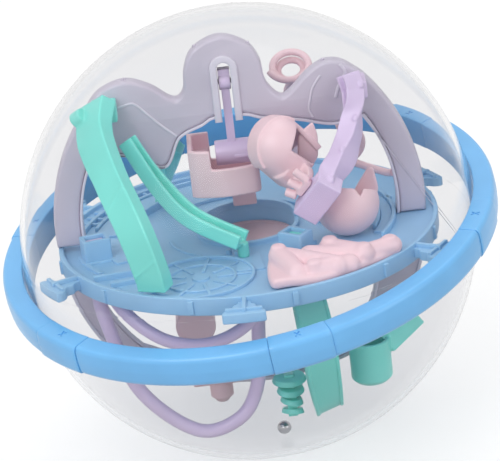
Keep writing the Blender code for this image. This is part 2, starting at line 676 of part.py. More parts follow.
def lower_lilac():
    seat = SOCKETS["left"][0]
    top = Vector((seat.x, seat.y, UNDER_TRAY - 2))
    points = [
        top, at(-55, -36, -13), at(-41, -46, -23.5),
        at(-26, -47, -28.5), at(-12, -45, -27), at(-1, -42, -20),
    ]
    end = Vector((3 * LAYOUT, -41 * LAYOUT, UNDER_TRAY))
    rail = tube("lower_lilac_rail", smooth([*points, end + Vector((0, 0, -6))], 4) + [end], 2.6, LILAC)
    joined(rail, shoulder("shoulder", "left", LILAC), tenon("tenon", "left", LILAC))
    start = Vector((-63 * LAYOUT, -33 * LAYOUT, UNDER_TRAY))
    points = [
        start + Vector((0, 0, -3)), at(-62.5, -30.5, -18), at(-52.5, -31, -52),
        at(-31, -31, -73.5), at(-13, -30, -71), at(-4, -28, -58), at(-1, -27, -36),
    ]
    end = Vector((1 * LAYOUT, -27 * LAYOUT, UNDER_TRAY))
    tube("lower_lilac_loop", [start, *smooth([*points, end + Vector((0, 0, -6))], 4), end], 2.9, LILAC)


def lower_pink():
    drum_centre = at(-27, 10, -42)
    half = Vector((0, 6.5, 0))
    drum = cylinder("lower_pink_drum", drum_centre - half, drum_centre + half, 8.5, PINK, 28)
    x, y, z = drum_centre
    stem = box("stem", (x - 4, y - 3, z), (x + 4, y + 3, UNDER_TRAY), PINK)
    joined(drum, stem)
    back = LOWER_THICKNESS / 2 + FIT
    radius = 5.0
    place = Vector((-19.5 * LAYOUT, back + radius, 0))
    top, bottom = -60 * LAYOUT, -76.5 * LAYOUT
    x, y = place.x, place.y
    post = cylinder("lower_pink_post", (x, y, bottom), (x, y, top), radius, PINK, 24)
    tip = cylinder("tip", (x, y, bottom - 2.4), (x, y, bottom + 0.5), radius - 2.4, PINK, 24, radius - 0.3)
    bar = box("bar", (-31 * LAYOUT, back, -69.5 * LAYOUT), (9 * LAYOUT, back + 6, -64.5 * LAYOUT), PINK)
    joined(post, tip, bar)


def lower_mint():
    seat = SOCKETS["right"][0]
    top = Vector((seat.x, seat.y, UNDER_TRAY - 1.5))
    points = [
        top, at(21, -39, -16), at(23, -42, -34), at(24, -38.5, -54),
        at(25, -30, -71), at(25, -21, -74), at(25, -14, -66), at(25, -13, -56),
    ]
    route = smooth(points, 4)
    widths = [1.0 + 0.3 * math.sin(math.pi * min(1.0, i / 16)) for i in range(len(route))]
    strip = [(-6, 0), (6, 0), (6, -2.4), (-6, -2.4)]
    lower_band = band("lower_mint_band", route, strip, MINT, widths=widths)
    joined(lower_band, shoulder("shoulder", "right", MINT), tenon("tenon", "right", MINT))
    front = -LOWER_THICKNESS / 2 - FIT
    spine = at(9.5, -22, 0)
    x, y = spine.x, spine.y
    fan = box("lower_mint_fan", (x - 2, y - 2, -76 * LAYOUT), (x + 2, y + 2, -57 * LAYOUT), MINT)
    bridge = box("bridge", (x - 2, y, -65.5 * LAYOUT), (x + 2, front, -60.5 * LAYOUT), MINT)
    leaves = [
        cylinder("leaf", (x, y, z * LAYOUT), (x, y, z * LAYOUT + 2.2), radius, MINT, 16, radius - 1.2)
        for z, radius in ((-60, 7.4), (-65, 6.8), (-70, 6.0), (-75, 5.0))
    ]
    joined(fan, bridge, *leaves)
    centre = at(44.5, -15, -58)
    outer, wall, height = 8.8, 1.8, 19.0
    top, bottom, inner = height / 2, -height / 2, outer - wall
    profile = [
        (outer, top), (outer, bottom + 2), (outer - 2, bottom), (0, bottom),
        (0, bottom + wall), (inner, bottom + wall), (inner, top),
    ]
    cup = turned("lower_mint_cup", profile, MINT, steps=32, place=Matrix.Translation(centre))
    arm_start = centre + Vector((outer - 1.5, 0, 6))
    arm_end = Vector((66 * LAYOUT, -9 * LAYOUT, -43 * LAYOUT))
    arm = band("arm", [arm_start, arm_end], flat_bar(9, 2.8), MINT, outward=Vector((0, -1, 0.2)))
    tab_low = Vector((60 * LAYOUT, -10 * LAYOUT, -42 * LAYOUT))
    tab = box("tab", tab_low, (64 * LAYOUT, front, -37 * LAYOUT), MINT)
    joined(cup, arm, tab)


def steel_ball():
    rest = Vector((5.3, -7.4, -89.5)).normalized() * (WITHIN_SHELL - STEEL_RADIUS)
    ball("steel_ball", rest, STEEL_RADIUS, STEEL)


def hang_on(pivot_name, place, names):
    """Parents the named parts to an empty on their joint's axis, where they are."""
    pivot = bpy.data.objects.new(pivot_name, None)
    pivot.location = Vector(place) * MM
    maze.objects.link(pivot)
    bpy.context.view_layer.update()
    for name in names:
        part = bpy.data.objects[name]
        part.parent = pivot
        part.matrix_parent_inverse = pivot.matrix_world.inverted()


grip_ring()
clear_shells()
maze_tray()
well_disc()
crown_frame()
lower_frame()
swing()
pink_tub()
pink_hood()
lilac_track()
pink_cup()
mint_slide()
mint_rail()
pink_mounds()
rear_pieces()
lower_lilac()
lower_pink()
lower_mint()
steel_ball()

for part in maze.objects:
    part.data.transform(Matrix.Scale(MM, 4))
    part.data.shade_smooth()
    part.data.set_sharp_from_angle(angle=math.radians(30))
in_ball = [p.name for p in maze.objects if not p.name.startswith("ring_") and p.name != "swing_lever"]
hang_on("ball_centre", (0, 0, 0), in_ball)
hang_on("swing_pivot", (SLOT_X, 0, PIVOT_Z), ["swing_lever"])
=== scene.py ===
"""The looks of a 3-D maze ball puzzle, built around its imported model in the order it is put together.

Pieces are shaped in millimetres and turned to metres as they are finished. +Z is the maze tray's upward
normal, +X runs along the crown frame, and the origin is the centre of the clear ball.
"""

import math

import bmesh
import bpy
from mathutils import Matrix, Vector
from mathutils.geometry import interpolate_bezier


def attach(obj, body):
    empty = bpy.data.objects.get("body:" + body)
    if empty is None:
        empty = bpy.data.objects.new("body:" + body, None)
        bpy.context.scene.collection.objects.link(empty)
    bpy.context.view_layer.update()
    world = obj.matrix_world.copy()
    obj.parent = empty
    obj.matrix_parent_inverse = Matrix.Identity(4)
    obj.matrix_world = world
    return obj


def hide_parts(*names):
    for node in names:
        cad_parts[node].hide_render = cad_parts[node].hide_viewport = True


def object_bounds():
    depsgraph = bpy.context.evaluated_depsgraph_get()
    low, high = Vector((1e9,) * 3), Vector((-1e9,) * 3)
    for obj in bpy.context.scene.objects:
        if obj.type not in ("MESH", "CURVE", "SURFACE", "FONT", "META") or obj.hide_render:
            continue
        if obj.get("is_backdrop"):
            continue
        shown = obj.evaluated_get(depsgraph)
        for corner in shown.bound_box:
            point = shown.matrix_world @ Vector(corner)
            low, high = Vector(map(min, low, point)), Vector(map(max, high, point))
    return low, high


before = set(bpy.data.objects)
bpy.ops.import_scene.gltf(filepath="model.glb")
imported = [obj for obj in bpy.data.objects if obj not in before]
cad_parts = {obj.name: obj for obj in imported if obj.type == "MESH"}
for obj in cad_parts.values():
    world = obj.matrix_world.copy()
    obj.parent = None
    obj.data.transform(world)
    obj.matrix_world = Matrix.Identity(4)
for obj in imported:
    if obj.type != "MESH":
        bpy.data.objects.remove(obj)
cad_low, cad_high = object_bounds()

# The studio: a long lens a metre off, a little above the tray, and rolled as the puzzle is held. The lens
# matches how little the near side of the grip ring swells.
camera_lens = bpy.data.cameras.new("studio camera")
camera_lens.sensor_width = 36.0
camera_lens.lens = 185.7
camera_lens.shift_x = 0.003
camera_lens.clip_end = 40.0
camera = bpy.data.objects.new("studio camera", camera_lens)
bpy.context.scene.collection.objects.link(camera)
bpy.context.scene.camera = camera
elevation, roll, distance = math.radians(20.85), -0.1195, 1.0745
back = Vector((0, -math.cos(elevation), math.sin(elevation)))
level_up = Vector((0, math.sin(elevation), math.cos(elevation)))
side = Vector((1, 0, 0)) * math.cos(roll) + level_up * math.sin(roll)
upright = Vector((1, 0, 0)) * -math.sin(roll) + level_up * math.cos(roll)
facing = Matrix((side, upright, back)).transposed().to_4x4()
camera.matrix_world = Matrix.Translation(back * distance) @ facing


# The floor is matt white card. Its own light, which only the camera and what mirrors or bends light sees,
# takes it to white, and the shadow under the ball stays.
def add(tree, kind, inputs=None, **settings):
    """A node in a tree, with its settings, and with each input set to a value or linked to a socket."""
    made = tree.nodes.new(kind)
    for name, value in settings.items():
        setattr(made, name, value)
    for name, value in (inputs or {}).items():
        if isinstance(value, bpy.types.NodeSocket):
            tree.links.new(value, made.inputs[name])
        else:
            made.inputs[name].default_value = value
    return made


def from_hex(code):
    """An sRGB hex colour as the linear colour that a shader takes."""
    parts = [int(code[i : i + 2], 16) / 255 for i in (1, 3, 5)]
    return [p / 12.92 if p <= 0.04045 else ((p + 0.055) / 1.055) ** 2.4 for p in parts] + [1.0]


def looked_at(tree):
    """1 for what the camera, a gloss or clear plastic shows, and 0 for what only gives light."""
    path = add(tree, "ShaderNodeLightPath").outputs
    rays = {0: path["Is Camera Ray"], 1: path["Is Glossy Ray"]}
    seen = add(tree, "ShaderNodeMath", rays, operation="MAXIMUM")
    rays = {0: seen.outputs[0], 1: path["Is Transmission Ray"]}
    seen = add(tree, "ShaderNodeMath", rays, operation="MAXIMUM")
    return seen.outputs[0]


card_glow, floor_drop, floor_half = 0.52, 0.0004, 6
card = bpy.data.materials.new("matt white card")
card.use_nodes = True
tree = card.node_tree
tree.nodes.clear()
lift = add(tree, "ShaderNodeMath", {0: looked_at(tree), 1: card_glow}, operation="MULTIPLY")
glow = add(tree, "ShaderNodeEmission", {"Color": from_hex("#FFFFFF"), "Strength": lift.outputs[0]})
matt = add(tree, "ShaderNodeBsdfDiffuse", {"Color": from_hex("#BEBEBE")})
both = add(tree, "ShaderNodeAddShader", {0: matt.outputs[0], 1: glow.outputs[0]})
add(tree, "ShaderNodeOutputMaterial", {"Surface": both.outputs[0]})
floor_mesh = bpy.data.meshes.new("floor")
square_corners = ((-1, -1), (1, -1), (1, 1), (-1, 1))
floor_corners = [(x * floor_half, y * floor_half, cad_low.z - floor_drop) for x, y in square_corners]
floor_mesh.from_pydata(floor_corners, [], [(0, 1, 2, 3)])
floor_mesh.materials.append(card)
floor = bpy.data.objects.new("floor", floor_mesh)
bpy.context.scene.collection.objects.link(floor)
floor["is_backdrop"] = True

# Soft light: a bright even room, a large key lamp at the upper left, a weaker fill lamp at the right, and a
# small lamp above and behind, which lights the tops of the frames. Each lamp is a disc, in metres and watts.
room = bpy.data.worlds.new("bright room")
room.use_nodes = True
tree = room.node_tree
tree.nodes.clear()
room_light, room_white = 0.80, 1.0
strength = add(
    tree, "ShaderNodeMapRange", {"Value": looked_at(tree), "To Min": room_light, "To Max": room_white}
)
air = add(tree, "ShaderNodeBackground", {"Color": from_hex("#FFFFFF"), "Strength": strength.outputs[0]})
add(tree, "ShaderNodeOutputWorld", {"Surface": air.outputs[0]})
bpy.context.scene.world = room
for name, place, size, power in (
    ("key lamp", (-0.7, -1.1, 1.0), 1.1, 10.5),
    ("fill lamp", (1.1, -1.0, 0.5), 1.0, 4.0),
    ("top lamp", (0.15, 0.5, 1.4), 0.8, 2.5),
):
    lamp = bpy.data.lights.new(name, "AREA")
    lamp.shape, lamp.size, lamp.energy = "DISK", size, power
    hung = bpy.data.objects.new(name, lamp)
    hung.location = place
    hung.rotation_euler = (-Vector(place)).to_track_quat("-Z", "Y").to_euler()
    bpy.context.scene.collection.objects.link(hung)
bpy.context.scene.view_settings.view_transform = "Standard"


# The grip ring: six long arcs of glossy ABS, pushed onto the tongues of six slightly larger joint blocks.
# Each block's flat top carries a small sunken cross, where the mould's pin stood.
def moulded_abs(name, colour, gloss=0.34):
    """Injection-moulded ABS: an even, slightly milky colour with faint flow marks, and a soft gloss.

    Sizes are in millimetres. The mould's own grain is too fine to show, so it is drawn at 0.6.
    """
    flow_marks, mould_grain = 25, 0.6
    plastic = bpy.data.materials.new(name)
    plastic.use_nodes = True
    tree = plastic.node_tree
    shader = tree.nodes["Principled BSDF"]
    spot = add(tree, "ShaderNodeTexCoord").outputs["Object"]
    size = 1000 / flow_marks
    flow = add(tree, "ShaderNodeTexNoise", {"Vector": spot, "Scale": size, "Detail": 3.0, "Roughness": 0.45})
    spread = {"From Min": 0.3, "From Max": 0.7, "To Min": 0.94, "To Max": 1.05}
    shade = add(tree, "ShaderNodeMapRange", {"Value": flow.outputs["Fac"], **spread})
    tint = add(tree, "ShaderNodeHueSaturation", {"Value": shade.outputs[0], "Color": from_hex(colour)})
    tree.links.new(tint.outputs["Color"], shader.inputs["Base Color"])
    grain = add(tree, "ShaderNodeTexNoise", {"Vector": spot, "Scale": 1000 / mould_grain, "Detail": 2.0})
    spread = {"From Min": 0.3, "From Max": 0.7, "To Min": gloss - 0.02, "To Max": gloss + 0.03}
    worn = add(tree, "ShaderNodeMapRange", {"Value": grain.outputs["Fac"], **spread})
    tree.links.new(worn.outputs[0], shader.inputs["Roughness"])
    skin = add(
        tree, "ShaderNodeBump", {"Height": grain.outputs["Fac"], "Strength": 0.02, "Distance": 0.00003}
    )
    tree.links.new(skin.outputs["Normal"], shader.inputs["Normal"])
    shader.inputs["IOR"].default_value = 1.54
    shader.inputs["Subsurface Weight"].default_value = 0.12
    shader.inputs["Subsurface Radius"].default_value = (1.0, 1.0, 1.0)
    shader.inputs["Subsurface Scale"].default_value = 0.0012
    return plastic


def from_bmesh(name, shape, place=None):
    """A closed mesh object from a bmesh, in millimetres, with its faces pointing out."""
    bmesh.ops.remove_doubles(shape, verts=shape.verts, dist=1e-4)
    bmesh.ops.recalc_face_normals(shape, faces=shape.faces)
    mesh = bpy.data.meshes.new(name)
    shape.to_mesh(mesh)
    shape.free()
    if place is not None:
        mesh.transform(place)
    made = bpy.data.objects.new(name, mesh)
    bpy.context.scene.collection.objects.link(made)
    return made


def loft(name, sections, place=None):
    """A solid through a row of sections that have as many points each."""
    shape = bmesh.new()
    rings = [[shape.verts.new(point) for point in section] for section in sections]
    for one, two in zip(rings, rings[1:]):
        for i in range(len(one)):
            shape.faces.new((one[i - 1], one[i], two[i], two[i - 1]))
    shape.faces.new(rings[0])
    shape.faces.new(rings[-1])
    return from_bmesh(name, shape, place)


def eased(outline, radius, steps=3):
    """The same closed outline with each corner rounded off, by up to the radius."""
    points = [Vector(p).to_2d() for p in outline]
    rounded = []
    for i, corner in enumerate(points):
        before, after = points[i - 1] - corner, points[(i + 1) % len(points)] - corner
        reach = min(radius, before.length * 0.45, after.length * 0.45)
        start, end = corner + before.normalized() * reach, corner + after.normalized() * reach
        for k in range(steps + 1):
            t = k / steps
            rounded.append(start * (1 - t) ** 2 + corner * 2 * t * (1 - t) + end * t**2)
    return rounded


def swept_arc(name, profile, start, end, steps, place=None, ease=0.0):
    """A profile of (radius, height) turned about Z between two angles, with eased ends."""
    middle = sum((Vector(p) for p in profile), Vector((0, 0))) / len(profile)
    trim = math.degrees(ease / middle.x)
    first, last = start + trim, end - trim
    stops = [(first, 0.0)]
    stops += [(first + (end - start - 2 * trim) * i / steps, 0.0) for i in range(1, steps)]
    stops += [(last, 0.0)]
    if ease:
        stops = [(start, ease), *stops, (end, ease)]
    sections = []
    for angle, drawn_in in stops:
        a = math.radians(angle)
        points = [p + (middle - p).normalized() * drawn_in for p in map(Vector, profile)]
        sections.append([(p.x * math.cos(a), p.x * math.sin(a), p.y) for p in points])
    return loft(name, sections, place)


def plate(name, outline, low, high, place=None, ease=0.0, holes=()):
    """A plate with this outline in X and Y, between two heights. A curve's bevel rounds its edges."""
    curve = bpy.data.curves.new(name, "CURVE")
    curve.dimensions = "2D"
    curve.fill_mode = "BOTH"
    curve.extrude = (high - low) / 2 - ease
    curve.bevel_depth = ease
    curve.bevel_resolution = 2
    curve.offset = -ease
    for points in (outline, *holes):
        spline = curve.splines.new("POLY")
        spline.points.add(len(points) - 1)
        for point, where in zip(spline.points, points):
            point.co = (where[0], where[1], 0.0, 1.0)
        spline.use_cyclic_u = True
    flat = bpy.data.objects.new(name, curve)
    bpy.context.scene.collection.objects.link(flat)
    shape = bmesh.new()
    shape.from_mesh(applied(flat))
    bpy.data.objects.remove(flat)
    level = Matrix.Translation((0, 0, (low + high) / 2))
    return from_bmesh(name, shape, level if place is None else place @ level)


def box(name, low, high, place=None, ease=0.0):
    """A block between two corners, with eased edges."""
    outline = [(low[0], low[1]), (high[0], low[1]), (high[0], high[1]), (low[0], high[1])]
    return plate(name, outline, low[2], high[2], place, ease)


def applied(made):
    """The object's mesh with its modifiers applied."""
    bpy.context.view_layer.update()
    return bpy.data.meshes.new_from_object(made.evaluated_get(bpy.context.evaluated_depsgraph_get()))


def cut(made, *cutters):
    """The object with each cutter taken away from it."""
    for cutter in cutters:
        boolean = made.modifiers.new("cut", "BOOLEAN")
        boolean.operation, boolean.solver, boolean.object = "DIFFERENCE", "EXACT", cutter
    mesh = applied(made)
    made.modifiers.clear()
    made.data = mesh
    for cutter in cutters:
        bpy.data.objects.remove(cutter)
    return made


def node_tree(name, sizes):
    """A Geometry Nodes tree with one geometry in and one out, and a named input for each size."""
    tree = bpy.data.node_groups.new(name, "GeometryNodeTree")
    tree.interface.new_socket("Geometry", in_out="INPUT", socket_type="NodeSocketGeometry")
    tree.interface.new_socket("Geometry", in_out="OUTPUT", socket_type="NodeSocketGeometry")
    for label, kind in sizes:
        tree.interface.new_socket(label, in_out="INPUT", socket_type="NodeSocket" + kind)
    return tree, tree.nodes.new("NodeGroupInput").outputs


def closing_nodes(tree, made, plastic):
    """Ends a tree: the instances are made real, and take their plastic."""
    real = add(tree, "GeometryNodeRealizeInstances", {"Geometry": made})
    coated = add(tree, "GeometryNodeSetMaterial", {"Geometry": real.outputs[0], "Material": plastic})
    tree.links.new(coated.outputs[0], tree.nodes.new("NodeGroupOutput").inputs[0])
    return tree


def grown(made, tree, sizes):
    """The object with its mesh grown by a Geometry Nodes tree, and the modifier taken off again."""
    modifier = made.modifiers.new(tree.name, "NODES")
    modifier.node_group = tree
    for socket in tree.interface.items_tree:
        if socket.in_out == "INPUT" and socket.name in sizes:
            modifier[socket.identifier] = sizes[socket.name]
    mesh = applied(made)
    made.modifiers.clear()
    if made.type == "MESH":
        made.data = mesh
        return made
    name = made.name
    bpy.data.objects.remove(made)
    made = bpy.data.objects.new(name, mesh)
    bpy.context.scene.collection.objects.link(made)
    return made


def wheel_tree(plastic):
    """Repeats a part evenly about the Z axis."""
    tree, given = node_tree(
        "wheel of parts", [("Count", "Int"), ("First Angle", "Float"), ("Pitch", "Float")]
    )
    seats = add(tree, "GeometryNodeMeshLine", {"Count": given["Count"], "Offset": (0, 0, 0)}, mode="OFFSET")
    number = tree.nodes.new("GeometryNodeInputIndex").outputs[0]
    terms = {0: number, 1: given["Pitch"], 2: given["First Angle"]}
    turn = add(tree, "ShaderNodeMath", terms, operation="MULTIPLY_ADD")
    turn = add(tree, "ShaderNodeMath", {0: turn.outputs[0]}, operation="RADIANS")
    facing = add(tree, "ShaderNodeCombineXYZ", {"Z": turn.outputs[0]})
    seated = {"Points": seats.outputs[0], "Instance": given["Geometry"], "Rotation": facing.outputs[0]}
    placed = add(tree, "GeometryNodeInstanceOnPoints", seated)
    return closing_nodes(tree, placed.outputs[0], plastic)


def wheel(part, tree, count, first=0.0, pitch=None):
    """The part repeated about Z, from a first angle in degrees."""
    pitch = float(pitch or 360 / count)
    return grown(part, tree, {"Count": count, "First Angle": float(first), "Pitch": pitch})


def finished(name, parts, plastic, nodes, voxel=None, rounds=5, body="maze_ball"):
    """One piece from its parts, in metres. A voxel size melts them together and rounds their edges."""
    shape = bmesh.new()
    for part in parts:
        shape.from_mesh(part.data)
        bpy.data.objects.remove(part)
    mesh = bpy.data.meshes.new(name)
    shape.to_mesh(mesh)
    shape.free()
    piece = bpy.data.objects.new(name, mesh)
    bpy.context.scene.collection.objects.link(piece)
    if voxel:
        melt = piece.modifiers.new("melt", "REMESH")
        melt.mode, melt.voxel_size, melt.adaptivity = "VOXEL", voxel, 0.0
        ease = piece.modifiers.new("ease", "SMOOTH")
        ease.factor, ease.iterations = 0.5, rounds
        mesh = applied(piece)
        piece.modifiers.clear()
        piece.data = mesh
    mesh.transform(Matrix.Scale(0.001, 4))
    mesh.materials.clear()
    mesh.materials.append(plastic)
    mesh.shade_smooth()
    if not voxel:
        mesh.set_sharp_from_angle(angle=math.radians(40))
    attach(piece, body)
    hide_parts(*nodes)
    return piece


sky_blue = moulded_abs("sky blue glossy ABS", "#6DB2E6", gloss=0.3)
ball_radius, ring_gap, ring_depth, ring_half = 95.0, 0.4, 9.0, 6.35
ring_inside = ball_radius + ring_gap
tilt_axis_at = math.radians(-34.5)
ring_axis = Vector((math.cos(tilt_axis_at), math.sin(tilt_axis_at), 0))
ring_tilt = Matrix.Rotation(math.radians(10.5), 4, ring_axis)
ring_count, first_joint, joint_span = 6, -82.0, 13.6
seam_gap, ring_middle, block_step, end_ease = 0.08, 99.9, 0.4, 0.25
ring_pitch, ring_seam = 360 / ring_count, math.degrees(seam_gap / ring_middle)


def ring_section(step):
    """Flat top, bottom and inside, and a crowned outside."""
    r, h = ring_inside + ring_depth + step, ring_half + step / 2
    upper = [(r - 0.3, h - 1.6), (r - 1.3, h), (ring_inside, h)]
    lower = [(x, -y) for x, y in reversed(upper)]
    return eased([*lower, (r, 0), *upper], 0.8)


ring_wheel = wheel_tree(sky_blue)
near, far = -joint_span / 2, joint_span / 2
block = swept_arc("block", ring_section(block_step), near, far, 16, None, end_ease)
cross_at, cross_turn, stroke_length, stroke_width, stroke_depth = 99.3, 32, 3.8, 0.7, 0.25
strokes = [
    box(
        "stroke",
        (-stroke_length / 2, -stroke_width / 2, ring_half - stroke_depth),
        (stroke_length / 2, stroke_width / 2, ring_half + 1),
        Matrix.Translation((cross_at, 0, 0)) @ Matrix.Rotation(math.radians(turn), 4, "Z"),
    )
    for turn in (cross_turn, -cross_turn)
]
tongue_inside, tongue_outside, tongue_half, tongue_reach = 97.6, 102.2, 3, 4
tongue_section = [
    (tongue_inside, -tongue_half), (tongue_outside, -tongue_half),
    (tongue_outside, tongue_half), (tongue_inside, tongue_half),
]
tongue = swept_arc("tongue", tongue_section, near - tongue_reach, far + tongue_reach, 12)
blocks = [wheel(part, ring_wheel, ring_count, first_joint) for part in (cut(block, *strokes), tongue)]
long_arc = swept_arc(
    "arc", ring_section(0), far + ring_seam, near + ring_pitch - ring_seam, 64, None, end_ease
)
arcs = wheel(long_arc, ring_wheel, ring_count, first_joint)
for part in (*blocks, arcs):
    part.data.transform(ring_tilt)
ring_nodes = [[f"{kind}_{n}" for n in range(1, ring_count + 1)] for kind in ("ring_joint", "ring_arc")]
finished("joint_blocks", blocks, sky_blue, ring_nodes[0], body="grip_ring")
finished("long_arcs", [arcs], sky_blue, ring_nodes[1], body="grip_ring")


# The clear ball: two half shells of crystal polystyrene, 2 mm thick, polished inside and out. They meet
# behind the tray's rim with a hairline gap. Lamps shine through, and the far wall shows as a pale grey disc.
def arc(radius, start, end, steps, centre=(0.0, 0.0)):
    """Points on a circular arc, between two angles in degrees."""
    angles = (math.radians(start + (end - start) * i / steps) for i in range(steps + 1))
    return [(centre[0] + radius * math.cos(a), centre[1] + radius * math.sin(a)) for a in angles]


def turned(name, profile, steps=96, place=None):
    """A solid turned about Z from a closed profile of (radius, height)."""
    shape = bmesh.new()
    spin = [2 * math.pi * i / steps for i in range(steps)]
    rings = []
    for r, z in profile:
        if r < 1e-6:
            rings.append([shape.verts.new((0, 0, z))] * steps)
        else:
            rings.append([shape.verts.new((r * math.cos(a), r * math.sin(a), z)) for a in spin])
    for one, two in zip(rings, rings[1:] + rings[:1]):
        for i in range(steps):
            k = (i + 1) % steps
            corners = list(dict.fromkeys((one[i], one[k], two[k], two[i])))
            if len(corners) > 2:
                shape.faces.new(corners)
    return from_bmesh(name, shape, place)


# Crystal polystyrene: clear, with a faint grey cast and a mirror polish. Its index is 1.59, and a lower one
# keeps the pieces behind the two walls as straight and as clear as a thin moulded shell leaves them.
shell_index = 1.12
polystyrene = bpy.data.materials.new("clear crystal polystyrene")
polystyrene.use_nodes = True
tree = polystyrene.node_tree
clear = tree.nodes["Principled BSDF"]
clear.inputs["Base Color"].default_value = from_hex("#F2F2F3")
clear.inputs["Transmission Weight"].default_value = 1.0
clear.inputs["Roughness"].default_value = 0.0
clear.inputs["IOR"].default_value = shell_index
path = add(tree, "ShaderNodeLightPath").outputs
rays = {0: path["Is Shadow Ray"], 1: path["Is Diffuse Ray"]}
lamp_ray = add(tree, "ShaderNodeMath", rays, operation="MAXIMUM")
open_air = add(tree, "ShaderNodeBsdfTransparent", {"Color": from_hex("#FAFBFC")})
pane = add(tree, "ShaderNodeMixShader", {0: lamp_ray.outputs[0], 1: clear.outputs[0], 2: open_air.outputs[0]})
tree.links.new(pane.outputs[0], tree.nodes["Material Output"].inputs["Surface"])

# The welded edge is as clear as air, so that the hairline between the halves draws no bright line
weld = bpy.data.materials.new("clear polystyrene at the welded edge")
weld.use_nodes = True
weld.node_tree.nodes.clear()
see_through = add(weld.node_tree, "ShaderNodeBsdfTransparent")
add(weld.node_tree, "ShaderNodeOutputMaterial", {"Surface": see_through.outputs[0]})

cavity, hairline_gap, seam_face = 93.0, 0.03, 0.0005
hairline = math.degrees(hairline_gap / ball_radius)
for name, node, sign in (("upper_half_shell", "top_shell", 1), ("lower_half_shell", "bottom_shell", -1)):
    outer, inner = arc(ball_radius, 90, hairline, 64), arc(cavity, hairline, 90, 64)
    outer[0], inner[-1] = (0.0, ball_radius), (0.0, cavity)
    half_shell = turned(name, [(r, sign * z) for r, z in outer + inner], 192)
    half_shell = finished(name, [half_shell], polystyrene, [node])
    half_shell.data.materials.append(weld)
    for face in half_shell.data.polygons:
        if abs(face.normal.z) > 0.9 and abs(face.center.z) < seam_face:
            face.material_index = 1


# The maze tray: powder blue ABS with a satin skin. A rimmed floor, a well in the middle with a raised back
# wall, six arms that clip to the half shells, and two square sockets that take the lower pieces' tenons.
powder_blue = moulded_abs("powder blue satin ABS", "#9AC5E6", gloss=0.42)
rim_outside, rim_wall, rim_top, rim_bottom = 79.2, 2.0, 3.2, -4.1
rim_inside = rim_outside - rim_wall
floor_top, floor_bottom = 1.0, -1.2
well_inside, well_outside, well_back_top = 19.5, 21.5, 6.3
shell_facets, arm_gap = 40, 0.3
arm_reach = cavity * math.cos(math.pi / shell_facets) ** 2 - arm_gap
tray_profile = eased(
    [
        (rim_outside, rim_top), (rim_outside, rim_bottom), (rim_inside, rim_bottom),
        (rim_inside, floor_bottom), (well_outside, floor_bottom), (well_outside, rim_bottom),
        (well_inside, rim_bottom), (well_inside, rim_top), (well_outside, rim_top),
        (well_outside, floor_top), (rim_inside, floor_top), (rim_inside, rim_top),
    ],
    0.45,
)
tray_parts = [turned("tray", tray_profile, 160)]
well_wall = eased([(19.6, floor_top), (21.4, floor_top), (21.4, well_back_top), (19.6, well_back_top)], 0.45)
tray_parts.append(swept_arc("well_back", well_wall, 5, 175, 48, None, 0.5))
tray_wheel = wheel_tree(powder_blue)
arm_half = 8.5
tip = math.sqrt(arm_reach**2 - arm_half**2)
arm_outline = [
    (rim_inside + 0.5, -2.5), (rim_outside + 2.2, -2.5), (rim_outside + 3.6, -4.6), (rim_outside + 6.8, -4.6),
    (rim_outside + 8.2, -7.2), (arm_reach - 2.6, -arm_half), (tip, -arm_half), (arm_reach, 0),
]
arm_outline += [(x, -y) for x, y in arm_outline[-2::-1]]
arm = plate("arm", eased(arm_outline, 0.9), -2.6, 1.4, None, 0.4)
arm_spine = box("spine", (rim_outside - 0.5, -0.8, 1.0), (arm_reach - 2.2, 0.8, 3.1), None, 0.3)
arm_bar = box("bar", (arm_reach - 4.4, -7.2, 1.0), (arm_reach - 3.0, 7.2, 2.6), None, 0.3)
first_arm, first_rim_clip = 26.5, 11
tray_parts += [wheel(part, tray_wheel, 6, first_arm) for part in (arm, arm_spine, arm_bar)]
rim_clip = box("rim_clip", (rim_outside - 0.6, -1.1, -3.4), (rim_outside + 0.9, 1.1, 2.2), None, 0.35)
tray_parts.append(wheel(rim_clip, tray_wheel, 12, first_rim_clip))


def on_tray(x, y, turn=0.0):
    """A place on the tray, turned about its normal by an angle in degrees."""
    return Matrix.Translation((x, y, 0)) @ Matrix.Rotation(math.radians(turn), 4, "Z")


def step_section(inside, outside, high, ease, low=0.5):
    """The section of a step or wall that grows out of the tray's floor."""
    return eased([(inside, low), (outside, low), (outside, high), (inside, high)], ease)


# The round bowl at the front left, with its step, its eye and its nine spokes
bowl = on_tray(-21, -50)
spokes = wheel(box("spoke", (6.5, -0.7, 0.6), (20.9, 0.7, 1.7), None, 0.3), tray_wheel, 9)
spokes.data.transform(bowl)
tray_parts += [
    turned("bowl", step_section(20.6, 21.9, 2.5, 0.4, 0.4), 96, bowl),
    turned("bowl_step", step_section(13.2, 14.4, 1.9, 0.4, 0.4), 72, bowl),
    turned("bowl_eye", [(0, 0.4), (3.3, 0.4), (3.6, 0.8), (3.4, 1.9), (0, 2.0)], 40, bowl),
    spokes,
]
# Thin curved walls that guide the ball: radius, the two angles, height and half the thickness
for radius, start, end, high, half in (
    (60.9, -28, 24, 3.4, 0.8), (54.5, -20, 30, 3.4, 0.8), (66, 100, 165, 2.8, 0.8), (40, 95, 140, 2.6, 0.8),
    (33, 190, 232, 1.9, 0.8), (47, 212, 225, 1.8, 2.2), (66, -64, -34, 2.2, 0.8), (71, 96, 170, 3.0, 0.8),
    (30, -8, 62, 2.6, 0.8), (52, 132, 168, 4.2, 0.8),
):
    section = step_section(radius - half, radius + half, high, 0.4)
    tray_parts.append(swept_arc("ridge", section, start, end, 40, None, 0.3))
